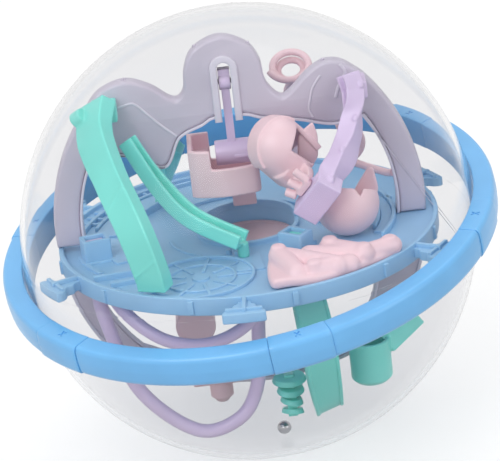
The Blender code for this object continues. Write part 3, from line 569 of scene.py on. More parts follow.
# Broad low steps: the two angles, the two radii and the height
for start, end, inside, outside, high in (
    (-24, 18, 55.5, 60.0, 2.0), (128, 172, 54, 65, 1.9), (176, 204, 44, 60, 1.8), (222, 232, 62, 74, 1.4),
    (262, 276, 30, 48, 1.6),
):
    tray_parts.append(swept_arc("step", step_section(inside, outside, high, 0.3), start, end, 30, None, 0.3))
# Straight ribs, round pegs, and the fan of slats at the left
for x, y, turn, length, high in (
    (-56, -38, 8, 16, 3.4), (-49, -47, 8, 16, 3.4), (-64, -28, -62, 12, 2.4), (-40, -34, 40, 9, 2.0),
    (24, -26, -40, 6, 3),
):
    tray_parts.append(box("rib", (-length / 2, -1.1, 0), (length / 2, 1.1, high), on_tray(x, y, turn), 0.4))
for x, y, width in ((-5, -30.5, 3.4), (-9, -27, 2.4), (-26, 27, 3.0), (60, 12, 3.0), (30, 44, 3.2)):
    tray_parts.append(turned("peg", step_section(0, width / 2, 3.4, 0.4), 32, on_tray(x, y)))
tray_parts.append(wheel(box("slat", (66.5, -0.6, 0.6), (75.5, 0.6, 2.4), None, 0.3), tray_wheel, 9, 118, 5.2))
# The two square sockets, each on a rounded collar
left_socket, right_socket = on_tray(-63, -14.5, 15), on_tray(18.5, -34, -38)
for place in (left_socket, right_socket):
    wall = eased([(-5.7, -4.5), (5.7, -4.5), (5.7, 4.5), (-5.7, 4.5)], 0.9)
    collar = eased([(-7.2, -6), (7.2, -6), (7.2, 6), (-7.2, 6)], 3)
    bore = [(-4, -2.8), (4, -2.8), (4, 2.8), (-4, 2.8)]
    tray_parts.append(plate("socket", wall, 0.2, 10.6, place, 0.35, [bore]))
    tray_parts.append(plate("collar", collar, 0.3, 1.9, place, 0.35, [bore]))
finished("tray_moulding", tray_parts, powder_blue, ["maze_tray"])


# The well's disc: greyish pink ABS with a satin skin. It is pressed into the bottom of the well, and is
# dished in the middle, with a fine step near its edge.
rose_grey = moulded_abs("greyish rose satin ABS", "#CFB3B8", gloss=0.45)
dish = [
    (0, -4.1), (18.5, -4.1), (19.1, -3.8), (19.1, -2.8), (18.9, -2.6), (17.2, -2.6), (16.9, -2.9), (6, -3.1),
    (0, -3.15),
]
finished("well_disc_moulding", [turned("disc", dish, 96)], rose_grey, ["well_disc"])


# The crown and the lower frame: upright plates of grey-lilac ABS with soft, thick edges. One stands on the
# tray and one hangs under it. Fine raised lines run round the crown's windows. Its middle lobe is slotted.
grey_lilac = moulded_abs("grey lilac satin ABS", "#C8C0CE", gloss=0.45)
# A paler copy of the same grey-lilac plastic, for the rims and the raised lines: a painted highlight where
# their edges catch the light.
rim_lilac_painted_highlight = moulded_abs("grey lilac satin ABS at a thin rim", "#D9D3DF", gloss=0.4)
face_on = Matrix.Rotation(math.radians(90), 4, "X")
slot_x, leg_outside, leg_width, leg_spread = -2.5, 76.6, 11.0, 0.16


def smooth(points, steps, closed=False):
    """Points along a smooth curve through the given ones."""
    knots = [Vector(point).to_3d() for point in points]
    last = len(knots) - 1

    def knot(index):
        return knots[index % len(knots)] if closed else knots[max(0, min(index, last))]

    route = []
    for index in range(len(knots) if closed else last):
        before, start, end, after = (knot(index + shift) for shift in (-1, 0, 1, 2))
        leave, arrive = start + (end - before) / 6, end - (after - start) / 6
        route += interpolate_bezier(start, leave, arrive, end, steps + 1)[:-1]
    return route if closed else route + [knots[-1]]


def leg(sign, foot, end, steps, inset=0.0, spread=0.0):
    """One edge of a frame's leg, from its foot's height to an angle above or below the tray."""
    start = math.degrees(math.asin(foot / (leg_outside - inset)))
    angles = [start + (end - start) * i / steps for i in range(steps + 1)]
    radii = [leg_outside - inset + spread * abs(angle) for angle in angles]
    return [
        Vector((slot_x + sign * r * math.cos(math.radians(a)), r * math.sin(math.radians(a)), 0))
        for r, a in zip(radii, angles)
    ]


def inward(outline, amount):
    """The outline moved inwards by an amount, for a rim of even width."""
    points = [Vector(p).to_2d() for p in outline]
    area = sum(points[i - 1].cross(points[i]) for i in range(len(points)))
    moved = []
    for i, p in enumerate(points):
        ahead = (points[(i + 1) % len(points)] - p).normalized() + (p - points[i - 1]).normalized()
        across = Vector((-ahead.y, ahead.x)).normalized() * (1 if area > 0 else -1)
        moved.append(p + across * amount)
    return moved


def rimmed_plate(name, outline, thickness, rim_width, sunk):
    """A plate in two parts: a web whose faces are sunk, and the raised rim round it."""
    half = thickness / 2
    web = plate(name, inward(outline, 0.4), -half + sunk, half - sunk, face_on, 0.05)
    rim = plate(name, outline, -half, half, face_on, 0.45, [inward(outline, rim_width)])
    return web, rim


def cylinder(name, start, end, radius, steps=48, ease=0.4, end_radius=None, bore=0.0):
    """A round bar, cone or bushing from one point to another, with eased ends."""
    start, end = Vector(start), Vector(end)
    length, far = (end - start).length, radius if end_radius is None else end_radius
    profile = eased([(bore, 0), (radius, 0), (far, length), (bore, length)], ease)
    if not bore:
        # An eased corner has four points, and only the outer two corners of a solid bar are eased
        profile = [(0, 0), *profile[4:12], (0, length)]
    along = Vector((0, 0, 1)).rotation_difference(end - start).to_matrix().to_4x4()
    return turned(name, profile, steps, Matrix.Translation(start) @ along)


lobes = [
    (-54, 68), (-43, 71.5), (-33, 68), (-26, 62.6), (-22.4, 61.6), (-19.6, 65), (-18.4, 73), (-14, 81.2),
    (-3, 85.6), (8, 81.2), (12.6, 74), (14.2, 64), (19.5, 57.5), (24.5, 60), (31, 66), (38, 69.8),
    (45, 69.2), (50.5, 65.5),
]
window = [
    (40, 44), (26, 47.5), (12, 50), (4, 52.5), (-8.5, 52.5), (-14, 50), (-24, 45.5), (-31, 34), (-43, 40),
]
left, right = leg(-1, 3.5, 46, 24, spread=leg_spread), leg(1, 1.3, 48, 24, spread=leg_spread)[::-1]
right_inner = leg(1, 1.3, 40, 20, leg_width, leg_spread)
left_inner = leg(-1, 3.5, 37, 20, leg_width, leg_spread)[::-1]
top = smooth([left[-1], *lobes, right[0]], 8)
under = smooth([right_inner[-1], *window, left_inner[0]], 10)
crown_outline = left + top[1:-1] + right + right_inner + under[1:-1] + left_inner
first_inner = len(left) + len(top) - 2 + len(right)


def raised_line(name, line, width, half):
    """A rounded line that stands on both faces of an upright plate."""
    points = [Vector(p).to_2d() for p in line]
    shifted = []
    for i, p in enumerate(points):
        ahead = (points[min(i + 1, len(points) - 1)] - points[max(i - 1, 0)]).normalized()
        shifted.append((p + Vector((-ahead.y, ahead.x)) * width, p))
    return plate(name, [p for _, p in shifted] + [p for p, _ in reversed(shifted)], -half, half, face_on, 0.3)


def slot_shape(half, low, high):
    """An upright slot with a round top, for the swing."""
    return [(slot_x + half, low), *arc(half, 0, 180, 24, (slot_x, high - half)), (slot_x - half, low)]


def slotted(made):
    """The plate or line with the swing's slot cut through it, from below its lower edge."""
    return cut(made, plate("slot", slot_shape(slot_half, 30, slot_top), -9, 9, face_on))


crown_half, slot_half, slot_top = 4, 2.7, 75
crown = slotted(plate("crown", crown_outline, -crown_half, crown_half, face_on, 1.5))
nubs = [
    cylinder("nub", (x, 0, z), (x, 0, z + 1.6), 0.8, 16, 0.2)
    for x, z in ((-43, 70.6), (-13, 81), (8.5, 79.8), (38, 69))
]
finished("crown_moulding", [crown, *nubs], grey_lilac, ["crown_frame"])
hoop_width, hoop_foot, hoop_half, line_half = 3, 50, 5.2, 4.4
hoop_outside = slot_shape(slot_half + hoop_width, hoop_foot, slot_top + hoop_width)
hoop = [*hoop_outside, *reversed(slot_shape(slot_half, hoop_foot, slot_top))]
left_seam = [(-47, 60.5), (-43.9, 61.3), (-40.3, 61.4), (-35.3, 56.2), (-30.8, 51.3), (-24.8, 45.7)]
right_seam = [(35.9, 65), (32.3, 60.1), (30.7, 54.9), (29.8, 50.7), (31.4, 47)]
lobe_edge = [(44.1, 67.9), (45.8, 65), (44.3, 61.9), (42.4, 58.8), (41, 54.7)]
seams = [
    slotted(raised_line("window_edge", crown_outline[first_inner:], 1.1, line_half - 0.05)),
    raised_line("left_seam", smooth(left_seam, 6), 1.0, line_half),
    raised_line("right_seam", smooth(right_seam, 6), 1.0, line_half),
    raised_line("lobe_edge", smooth(lobe_edge, 6), 1.3, line_half + 0.1),
]
hoop = plate("hoop", hoop, -hoop_half, hoop_half, face_on, 0.6)
# The hoop and the raised lines take the paler copy of the plastic: painted highlight.
finished("crown_rim", [hoop, *seams], rim_lilac_painted_highlight, ["crown_frame"])

left, right = leg(-1, -4.4, -46, 24), leg(1, -1.5, -46, 24)[::-1]
outer = smooth([left[-1], (-28, -64.5), (0, -68), (26, -64.5), right[0]], 12)
right_web = smooth([(52, -1.5), (50, -30), (44, -44)], 8)
left_inner = leg(-1, -4.4, -44, 24, leg_width)[::-1]
under = smooth([right_web[-1], (26, -56), (0, -59.5), (-26, -56), left_inner[0]], 12)
lower_outline = left + outer[1:-1] + right + right_web + under[1:-1] + left_inner
lower_thickness, lower_rim, lower_sunk = 4.4, 1.5, 0.6
web, rim = rimmed_plate("lower_frame", lower_outline, lower_thickness, lower_rim, lower_sunk)
finished("lower_frame_moulding", [web], grey_lilac, ["lower_frame"])
# The lower frame's rim takes the paler copy of the plastic: painted highlight.
finished("lower_frame_rim", [rim], rim_lilac_painted_highlight, ["lower_frame"])


# The swing: one lilac moulding of an eye, an arm and a barrel, which hangs on a ground steel pin in the
# crown's slot. Its barrel catches the ball and lowers it into the tub.
lilac = moulded_abs("lilac satin ABS", "#DBC8E6", gloss=0.4)
# Steel, ground and then lapped: bright grey, with a slightly uneven haze. The real lapping marks are too fine
# to show, so they are drawn 1.2 mm long.
lap_marks = 1.2
steel = bpy.data.materials.new("ground and polished steel")
steel.use_nodes = True
tree = steel.node_tree
shader = tree.nodes["Principled BSDF"]
spot = add(tree, "ShaderNodeTexCoord").outputs["Object"]
lap = add(tree, "ShaderNodeTexNoise", {"Vector": spot, "Scale": 1000 / lap_marks, "Detail": 3.0})
spread = {"From Min": 0.3, "From Max": 0.7, "To Min": 0.16, "To Max": 0.26}
haze = add(tree, "ShaderNodeMapRange", {"Value": lap.outputs["Fac"], **spread})
tree.links.new(haze.outputs[0], shader.inputs["Roughness"])
shader.inputs["Base Color"].default_value = from_hex("#B4B4B6")
shader.inputs["Metallic"].default_value = 1.0


def crossways(name, half, height, *round_sizes, **more):
    """A round part on the slot's middle line, along X."""
    return cylinder(name, (slot_x - half, 0, height), (slot_x + half, 0, height), *round_sizes, **more)


pivot_z, swing_low = 66.0, 35.5
pin = crossways("pin", 5.7, pivot_z, 1.1, 32, 0.2)
finished("swing_pin", [pin], steel, ["swing_axle"])
eye = crossways("eye", 2.4, pivot_z, 3.5, 40, 0.35, bore=1.4)
block = box("block", (slot_x - 2.4, -2.2, pivot_z + 0.5), (slot_x + 2.4, 2.2, pivot_z + 5.5), None, 0.4)
block = cut(block, crossways("bore", 5, pivot_z, 1.5))
arm = box("arm", (slot_x - 1.7, -1.7, swing_low), (slot_x + 1.7, 1.7, pivot_z - 2.2), None, 0.45)
barrel = crossways("barrel", 7.2, swing_low, 5.2, 64, 0.6)
lip = box("lip", (slot_x + 0.5, -5.6, swing_low - 1.4), (slot_x + 7.0, -4.4, swing_low + 0.2), None, 0.4)
finished("swing_moulding", [eye, block, arm, barrel, lip], lilac, ["swing_lever"], body="swing")


# The pink tub under the swing: a deep box of satin ABS with a high left wall, and a low right end that lets
# the ball out. It stands on a post at the back of the tray's well.
pink = moulded_abs("pale pink satin ABS", "#F0D0D6", gloss=0.42)
tub_low, tub_high, tub_wall = 21.0, 41.0, 2.0
outline = smooth([(-21, -10), (-17, -12.5), (-7, -14.5), (4.5, -13), (7.5, -10)], 8)
outline += [Vector((7.5, 13.5, 0)), Vector((-21, 13.5, 0))]
tub = plate("tub", outline, tub_low, tub_high)
hollow = smooth([(-19, -8.5), (-16, -10.6), (-7, -12.4), (3.5, -11), (5.5, -8.5)], 8)
hollow += [Vector((5.5, 11.5, 0)), Vector((-19, 11.5, 0))]
tub = cut(
    tub,
    plate("inside", hollow, tub_low + tub_wall, 50),
    box("lowered", (-12, -30, 33), (20, 30, 50)),
    box("way_out", (-12, 10.5, 29), (20, 30, 50)),
    box("outlet", (4, -9, 26), (20, 11.5, 50)),
)
post = box("post", (-5, 12.5, 6.6), (5, 21.9, tub_low + 4), None, 0.4)
ledge = plate("ledge", [(-20.2, -9), (-13, -11.4), (-13, 12), (-20.2, 12)], 32, 34)
finished("tub_moulding", [tub, post, ledge], pink, ["pink_tub"], 0.42)


# The pink hood: a domed drum of satin ABS with a raised band over its crown and a notched mouth. A ramp with
# three fingers at its foot leads to the lilac track's end box.
end_box_half = (10, 4.4, 5.4)
end_box_place = (
    Matrix.Translation((29.2, -37.5, 25))
    @ Matrix.Rotation(math.radians(-53), 4, "Y")
    @ Matrix.Rotation(math.radians(-20), 4, "Z")
)


def directions(route, i, outward=None, reach=1):
    """Ahead, across and outward at a point of a route. Outward is away from the ball's centre by default."""
    ahead = route[min(i + reach, len(route) - 1)] - route[max(i - reach, 0)]
    away = (outward or route[i]).copy()
    away = (away - away.project(ahead)).normalized()
    ahead = ahead.normalized()
    return ahead, ahead.cross(away), away


def band(name, route, profile, outward=None, widths=None):
    """A profile of (across, outward) carried along a route."""
    sections = []
    for i, point in enumerate(route):
        _, across, away = directions(route, i, outward)
        stretch = widths[i] if widths else 1.0
        sections.append([point + across * (a * stretch) + away * n for a, n in profile])
    return loft(name, sections)


def strip_profile(width, low, high):
    """A flat strip's profile with eased corners."""
    half = width / 2
    return eased([(-half, low), (half, low), (half, high), (-half, high)], 0.5)


hood_centre, hood_axis = Vector((15.8, -19, 42)), Vector((-0.60, -0.25, 0.76)).normalized()
hood_radius, hood_inside, hood_depth = 12, 10.2, 12
outer = arc(hood_radius, 90, 0, 24) + [(hood_radius, -hood_depth)]
inner = [(hood_inside, -hood_depth)] + arc(hood_inside, 0, 90, 24)
outer[0], inner[-1] = (0.0, float(hood_radius)), (0.0, hood_inside)
hood_turn = Vector((0, 0, 1)).rotation_difference(hood_axis).to_matrix().to_4x4()
hood_place = Matrix.Translation(hood_centre) @ hood_turn
dome = turned("dome", outer + inner, 96, hood_place)


def round_hood(turn):
    """The hood's own place, turned about its axis by an angle in degrees."""
    return hood_place @ Matrix.Rotation(math.radians(turn), 4, "Z")


skirt_half = 11.3
square = [(x * skirt_half, y * skirt_half) for x, y in square_corners]
skirt = plate("skirt", eased(square, 6.5, 5), -12.4, -4.5, round_hood(20), 0.5, [arc(10.4, 0, 352.5, 47)])
stripe = arc(12.5, 8, 172, 24)
stripe += [(x * 0.93, z * 0.93) for x, z in reversed(stripe)]
crown_band = plate("stripe", stripe, -3.8, 3.8, round_hood(35) @ face_on, 0.25)
mouth = [(20.8, 42.8), (26.2, 54), (42, 54), (42, 33), (28.5, 35)]
dome, skirt = (cut(part, plate("mouth", mouth, 19.5, 44, face_on)) for part in (dome, skirt))
over_box = end_box_half[2] + 1.7
ramp_start = hood_centre - hood_axis * 8.5 + Vector((0.5, -8.5, -2))
ramp_bend, ramp_end = (end_box_place @ Vector((0.5, y, over_box)) for y in (7.5, -1.0))
ramp_up = end_box_place.to_3x3() @ Vector((0, 0, 1))
ramp = band("ramp", smooth([ramp_start, ramp_bend, ramp_end], 6), strip_profile(8, -1.4, 1.4), ramp_up)
inner_wall = eased([(24.3, 45.1), (30.9, 50.2), (32.3, 44.1), (31.6, 35.1), (28.7, 31.1), (23.1, 34.5)], 1.5)
hood_parts = [dome, skirt, crown_band, ramp, plate("inner_wall", inner_wall, 16.8, 18.6, face_on, 0.3)]
for along, lean, thick in (
    (-5.0, (-1.6, 0.5, 4.6), 2.0), (-0.6, (-1.0, 0.5, 6.4), 1.9), (3.8, (0.6, 0.5, 7.0), 1.9)
):
    root = Vector((along, 1.0, over_box))
    ends = [end_box_place @ root, end_box_place @ (root + Vector(lean))]
    hood_parts.append(cylinder("finger", *ends, thick, 24, 0.6, thick * 0.85))
finished("hood_moulding", hood_parts, pink, ["pink_hood"], 0.36, 4)


# The lilac track: a deep channel of satin ABS, clipped to the crown's right lobe. It drops the ball into the
# closed box at its end, and four small nubs stand on its outer edge.
def channel(width, depth, wall):
    """A U-shaped profile with eased corners, its back outward and its mouth towards the centre."""
    half, inner = width / 2, width / 2 - wall
    corners = [
        (-half, 0), (half, 0), (half, -depth), (inner, -depth), (inner, -wall), (-inner, -wall),
        (-inner, -depth), (-half, -depth),
    ]
    return eased(corners, 0.4)


track_outward = Vector((0.7, 0.4, 0.6))
route = smooth(
    [(50.5, -11.2, 67), (52, -13.4, 60), (51, -18, 51), (47, -26, 42), (41, -33.5, 34.5), (33, -38.8, 27)], 12
)
track = band("track", route, channel(10, 7.5, 1.8), track_outward)
end_box = box("end_box", [-half for half in end_box_half], end_box_half, end_box_place, 0.4)
track_clip = box("clip", (48, -17.3, 57), (54, -4.3, 64), None, 0.4)


def strung_tree(plastic):
    """Repeats a part along a path of edges, evenly, with the part's Z along the path."""
    tree, given = node_tree("parts strung on a path", [("Count", "Int"), ("Part", "Object")])
    line = add(tree, "GeometryNodeMeshToCurve", {"Mesh": given["Geometry"]})
    stops = {"Curve": line.outputs[0], "Count": given["Count"]}
    seats = add(tree, "GeometryNodeCurveToPoints", stops, mode="COUNT").outputs
    part = add(tree, "GeometryNodeObjectInfo", {"Object": given["Part"]}).outputs["Geometry"]
    seated = {"Points": seats["Points"], "Instance": part, "Rotation": seats["Rotation"]}
    placed = add(tree, "GeometryNodeInstanceOnPoints", seated)
    return closing_nodes(tree, placed.outputs[0], plastic)


def guide(name, route):
    """A path of edges that a tree reads."""
    mesh = bpy.data.meshes.new(name)
    mesh.from_pydata(route, [(i, i + 1) for i in range(len(route) - 1)], [])
    made = bpy.data.objects.new(name, mesh)
    bpy.context.scene.collection.objects.link(made)
    return made


def strung(path, part, plastic, count):
    """The part repeated along a path."""
    made = grown(path, strung_tree(plastic), {"Count": count, "Part": part})
    bpy.data.objects.remove(part)
    return made


edge = []
for i in range(10, 56):
    _, across, away = directions(route, i, track_outward)
    edge.append(route[i] + across * 4.9 - away * 1.2)
nubs = [strung(guide("nub_path", edge), cylinder("nub", (0, 0, -1.3), (0, 0, 1.3), 1.1, 16, 0.4), lilac, 4)]
finished("track_moulding", [track, end_box, track_clip, *nubs], lilac, ["lilac_track"], 0.4)


# The pink cup: a round bowl of satin ABS that stands on the tray, tipped back. A valley is cut in its back
# edge, and a pointed fin stands behind it.
cup_centre = Vector((41, -20.5, 14.6))
outer, inner = arc(13.3, -90, 24, 32), arc(11.5, 24, -90, 32)
outer[0], inner[-1] = (0.0, -13.3), (0.0, -11.5)
tilt = Matrix.Rotation(math.radians(-24), 4, "X") @ Matrix.Rotation(math.radians(8), 4, "Y")
cup = turned("cup", outer + inner, 96, Matrix.Translation(cup_centre) @ tilt)
cup = cut(cup, plate("valley", [(46.5, 20.2), (39.0, 31.5), (53.5, 33)], 24, 50, face_on))
fin_place = Matrix.Translation(cup_centre + Vector((2.5, 10.4, -3.5))) @ face_on
fin = eased([(-4, -5), (9, -5), (11.6, 5), (10.2, 14.2), (8.4, 14.6), (2.5, 6.5)], 1.4)
fin = plate("fin", fin, -0.9, 0.9, fin_place, 0.3)
finished("cup_moulding", [cup, fin], pink, ["pink_cup"], 0.4)


# The mint slide: a deep channel down the inside of the ball, hooked on the crown's left lobe. Raised seams
# cross its back where the mould's parts met.
mint = moulded_abs("mint green glossy ABS", "#83E4D8", gloss=0.33)
route = smooth(
    [(-57, -11.8, 67.5), (-59, -23, 58), (-54, -43, 46), (-46.5, -61, 30), (-42, -66.5, 14), (-40.5, -66, 4)],
    14,
)
widths = [1.3 - 0.3 * min(1.0, i / 28) for i in range(len(route))]
slide = band("slide", route, channel(13, 7, 2), widths=widths)
peg = cylinder("peg", (-60, -14, 63), (-64, -11.5, 60), 3.2, 32, 0.5)
hook = box("hook", (-57, -13.3, 58), (-47, -4.3, 66), None, 0.5)
seams = []
for i in (34, 56):
    ahead, across, away = directions(route, i, reach=2)
    ends = [route[i] + across * (6.2 * s) + ahead * (2.5 * s) - away * 0.25 for s in (-1, 1)]
    seams.append(cylinder("seam", ends[0], ends[1], 0.55, 12, 0.2))
finished("slide_moulding", [slide, peg, hook, *seams], mint, ["mint_slide"], 0.45)


# The mint rail: a narrow channel of glossy ABS that opens upwards. It runs from the slide's head, widens
# towards its foot, and ends on a boss beside the well.
route = smooth([(-47, -14, 49), (-37.5, -19, 32), (-24, -26.5, 16.5), (-4, -35, 6.7)], 16)
widths = [1.0 + 0.35 * i / (len(route) - 1) for i in range(len(route))]
rail = band("rail", route, channel(9, 6, 1.8), Vector((0.0, -0.15, -1.0)), widths)
boss = cylinder("boss", (-3, -32, 1.3), (-3, -32, 7.5), 2.4, 32, 0.4)
finished("rail_moulding", [rail, boss], mint, ["mint_rail"], 0.4)


# The pink mounds: one soft-edged moulding of satin ABS, seated in the tray's front right. The ball has to be
# steered between its long humps and its rounded posts.
outline = smooth(
    [
        (6, -70), (6.5, -47), (13, -44), (26, -45.5), (36, -43), (46, -50), (59, -47), (56, -53), (44, -62),
        (26, -71.6), (14, -71.6),
    ],
    8,
    closed=True,
)
mounds = [plate("mounds", outline, 1.3, 5.4, None, 1.4)]
for start, end, radius in (
    ((11, -50, 6.6), (17, -66, 4.6), 4.6), ((15, -51, 5.4), (33, -64, 5.0), 4.6),
    ((31, -46.5, 6.0), (44, -57, 6.2), 4.4), ((24, -66, 5.6), (38, -62, 4.4), 4.2),
    ((44, -55, 5.4), (56, -50, 5.6), 4.0), ((23, -50, 5.0), (38, -55, 5.2), 4.6),
):
    ball = [(0, -radius), *arc(radius, -75, 75, 10), (0, radius)]
    for t in range(9):
        middle = Vector(start).lerp(Vector(end), t / 8)
        mounds.append(turned("hump", ball, 32, Matrix.Translation(middle)))
for x, y, high in ((10.8, -49.5, 11.4), (31.5, -46.4, 11), (24, -66.5, 10), (44, -57, 10.8), (55, -50.3, 10)):
    mounds.append(cylinder("post", (x, y, 3), (x, y, high), 3.4, 32, 1.9, 3.1))
finished("mounds_moulding", mounds, pink, ["pink_mounds"], 0.45, 14)


# Behind the crown: a pink spiral of round rail on a leg to the tray, a pink hook on the crown's right leg,
# and a mint chute that leads down to the tray.
def rail_tree(plastic):
    """A round rail along a path of edges."""
    tree, given = node_tree("round rail along a path", [("Radius", "Float"), ("Sides", "Int")])
    line = add(tree, "GeometryNodeMeshToCurve", {"Mesh": given["Geometry"]})
    round_sizes = {"Resolution": given["Sides"], "Radius": given["Radius"]}
    circle = add(tree, "GeometryNodeCurvePrimitiveCircle", round_sizes)
    drawn = {"Curve": line.outputs[0], "Profile Curve": circle.outputs[0], "Fill Caps": True}
    skin = add(tree, "GeometryNodeCurveToMesh", drawn)
    return closing_nodes(tree, skin.outputs[0], plastic)


def tube(name, route, radius, plastic, sides=28):
    """A round rail along a route."""
    made = grown(guide(name, route), rail_tree(plastic), {"Radius": radius, "Sides": sides})
    shape = bmesh.new()
    shape.from_mesh(made.data)
    bpy.data.objects.remove(made)
    return from_bmesh(name, shape)


spiral_turn, spiral_wide, spiral_narrow, spiral_drop, spiral_steps = 810, 9, 4.2, 9, 108
spiral_place = Matrix.Translation((25, 24, 61)) @ Matrix.Rotation(math.radians(48), 4, "X")
route = []
for i in range(spiral_steps + 1):
    share = i / spiral_steps
    angle = math.radians(200 + spiral_turn * share)
    radius = spiral_wide - (spiral_wide - spiral_narrow) * share
    point = Vector((radius * math.cos(angle), radius * 0.85 * math.sin(angle), 4 - spiral_drop * share))
    route.append(spiral_place @ point)
route += smooth([route[-1], (23, 36, 46), (24, 44, 26), (24, 48, 6.3), (24, 48, 1.3)], 12)[1:]
finished("spiral_moulding", [tube("spiral", route, 1.5, pink)], pink, ["rear_spiral"])
curl = [Vector((44.2 + 7.5 * c, 20, 26.5 + 7.5 * s)) for c, s in arc(1, -90, 110, 32)]
route = smooth([(62.5, 2.8, 17), (60, 8, 15.5), (53, 16, 16), curl[0]], 10) + curl[1:]
finished("hook_moulding", [tube("hook", route, 1.6, pink)], pink, ["rear_hook"])
route = smooth([(-31, 8.5, 42), (-28, 20, 31), (-30, 36, 14), (-34, 44, 4.0)], 12)
chute = band("chute", route, channel(9, 4.5, 1.8), Vector((0.0, 0.6, -0.8)))
finished("chute_moulding", [chute], mint, ["rear_chute"])


# Under the tray, lilac: a rail that is plugged into the left socket, and a loop that hangs in front of the
# lower frame. Both are round bars of satin ABS.
def plug(name, place):
    """A shoulder under the tray's floor and the tenon that stands in its socket."""
    shoulder = box(name, (-5.7, -4.5, -4.5), (5.7, 4.5, -1.5), place, 0.3)
    return [shoulder, box(name, (-3.5, -2.3, -4), (3.5, 2.3, 9.1), place, 0.3)]


route = smooth(
    [
        (-63, -14.5, -3.5), (-55, -36, -13), (-41, -46, -23.5), (-26, -47, -28.5), (-12, -45, -27),
        (-1, -42, -20), (3, -41, -7.5),
    ],
    12,
) + [Vector((3, -41, -1.5))]
rail = tube("rail", route, 2.6, lilac, 36)
finished("lower_rail_moulding", [rail, *plug("plug", left_socket)], lilac, ["lower_lilac_rail"])
route = smooth(
    [
        (-63, -33, -4.5), (-62.5, -30.5, -18), (-52.5, -31, -52), (-31, -31, -73.5), (-13, -30, -71),
        (-4, -28, -58), (-1, -27, -36), (1, -27, -7.5),
    ],
    12,
)
route = [Vector((-63, -33, -1.5)), *route, Vector((1, -27, -1.5))]
loop = tube("loop", route, 2.9, lilac, 36)
finished("lower_loop_moulding", [loop], lilac, ["lower_lilac_loop"])


# Under the tray, pink: a drum on a stem that hangs from the floor, and a post with a cross bar behind the
# lower frame. Both are satin ABS.
drum = cylinder("drum", (-27, 3.5, -42), (-27, 16.5, -42), 8.5, 72, 0.7)
stem = box("stem", (-31, 7, -42), (-23, 13, -1.5), None, 0.5)
finished("drum_moulding", [drum, stem], pink, ["lower_pink_drum"])
post = cylinder("post", (-19.5, 7.5, -76.5), (-19.5, 7.5, -60), 5.0, 56, 0.6)
tip = cylinder("tip", (-19.5, 7.5, -78.9), (-19.5, 7.5, -76), 2.6, 40, 0.4, 4.7)
cross = box("cross", (-31, 2.5, -69.5), (9, 8.5, -64.5), None, 0.5)
finished("post_moulding", [post, tip, cross], pink, ["lower_pink_post"])


# Under the tray, mint: a curled band with beaded edges, plugged into the right socket, a stack of leaves on a
# bridge from the lower frame, and a cup on an arm.
route = smooth(
    [
        (18.5, -34, -2.7), (21, -39, -16), (23, -42, -34), (24, -38.5, -54), (25, -30, -71), (25, -21, -74),
        (25, -14, -66), (25, -13, -56),
    ],
    12,
)
widths = [1.0 + 0.3 * math.sin(math.pi * min(1.0, i / 48)) for i in range(len(route))]
strip = band("strip", route, strip_profile(12, 0, -2.4), widths=widths)
beads = []
for sign in (-1, 1):
    edge = []
    for i in range(6, len(route) - 1):
        _, across, away = directions(route, i)
        edge.append(route[i] + across * (5.3 * sign * widths[i]) - away * 0.3)
    beads.append(tube("bead", edge, 0.9, mint, 14))
end_roll = cylinder("end_roll", (19, -13.6, -56), (31, -13.6, -56), 1.7, 32, 0.6)
band_parts = [strip, *beads, end_roll, *plug("plug", right_socket)]
finished("band_moulding", band_parts, mint, ["lower_mint_band"])
spine = box("spine", (7.5, -24, -76), (11.5, -20, -57), None, 0.4)
bridge = box("bridge", (7.5, -22, -65.5), (11.5, -2.5, -60.5), None, 0.4)


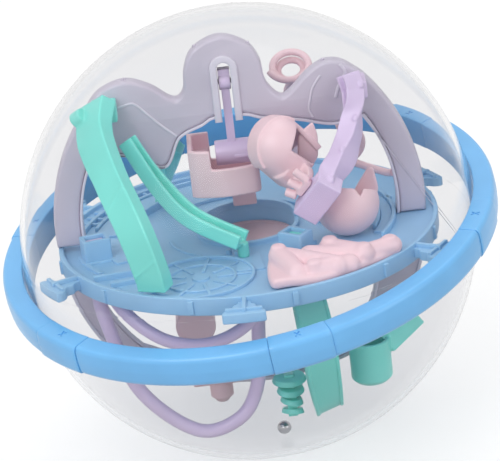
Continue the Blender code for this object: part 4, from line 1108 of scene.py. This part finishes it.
def stack_tree(plastic):
    """Repeats a part down the Z axis, each one narrower than the one above it."""
    sizes = [
        ("Count", "Int"), ("Start", "Vector"), ("Spacing", "Vector"), ("Shrink", "Float"), ("Turn", "Float")
    ]
    tree, given = node_tree("stack of leaves", sizes)
    row = {"Count": given["Count"], "Start Location": given["Start"], "Offset": given["Spacing"]}
    seats = add(tree, "GeometryNodeMeshLine", row, mode="OFFSET")
    number = tree.nodes.new("GeometryNodeInputIndex").outputs[0]
    lost = add(tree, "ShaderNodeMath", {0: number, 1: given["Shrink"]}, operation="MULTIPLY")
    width = add(tree, "ShaderNodeMath", {0: 1.0, 1: lost.outputs[0]}, operation="SUBTRACT")
    shape = add(tree, "ShaderNodeCombineXYZ", {"X": width.outputs[0], "Y": width.outputs[0], "Z": 1.0})
    turn = add(tree, "ShaderNodeMath", {0: number, 1: given["Turn"]}, operation="MULTIPLY")
    facing = add(tree, "ShaderNodeCombineXYZ", {"Z": turn.outputs[0]})
    seated = {"Points": seats.outputs[0], "Instance": given["Geometry"], "Rotation": facing.outputs[0]}
    placed = add(tree, "GeometryNodeInstanceOnPoints", {**seated, "Scale": shape.outputs[0]})
    return closing_nodes(tree, placed.outputs[0], plastic)


leaf = cylinder("leaf", (0, 0, 0), (0, 0, 2.2), 7.4, 48, 0.5, 6.2)
leaf.data.transform(Matrix.Rotation(math.radians(9), 4, "X") @ Matrix.Scale(0.84, 4, (0, 1, 0)))
leaves = grown(
    leaf,
    stack_tree(mint),
    {"Count": 4, "Spacing": (0.0, 0.0, -5.0), "Shrink": 0.108, "Start": (9.5, -22.0, -60.0), "Turn": 0.9},
)
finished("fan_moulding", [spine, bridge, leaves], mint, ["lower_mint_fan"])
profile = [(8.8, 9.5), (8.8, -7.5), (6.8, -9.5), (0, -9.5), (0, -7.7), (7, -7.7), (7, 9.5)]
low_cup = turned("cup", profile, 96, Matrix.Translation((44.5, -15, -58)))
arm_route = smooth([(51.8, -15, -52), (66, -9, -43)], 8)
arm = band("arm", arm_route, strip_profile(9, -1.4, 1.4), Vector((0, -1, 0.2)))
tab = box("tab", (60, -10, -42), (64, -2.5, -37), None, 0.4)
finished("low_cup_moulding", [low_cup, arm, tab], mint, ["lower_mint_cup"], 0.4)


# The steel ball: a 6 mm bearing ball, ground and polished. It rolls loose, and rests in the bottom of the
# clear ball.
steel_radius = 3
rest = Vector((5.3, -7.4, -89.5)).normalized() * (arm_reach - steel_radius)
profile = [(0, -steel_radius), *arc(steel_radius, -84, 84, 28), (0, steel_radius)]
bearing = turned("bearing", profile, 64, Matrix.Translation(rest))
finished("bearing_ball", [bearing], steel, ["steel_ball"], body="steel_ball")

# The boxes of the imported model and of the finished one
low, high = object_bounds()
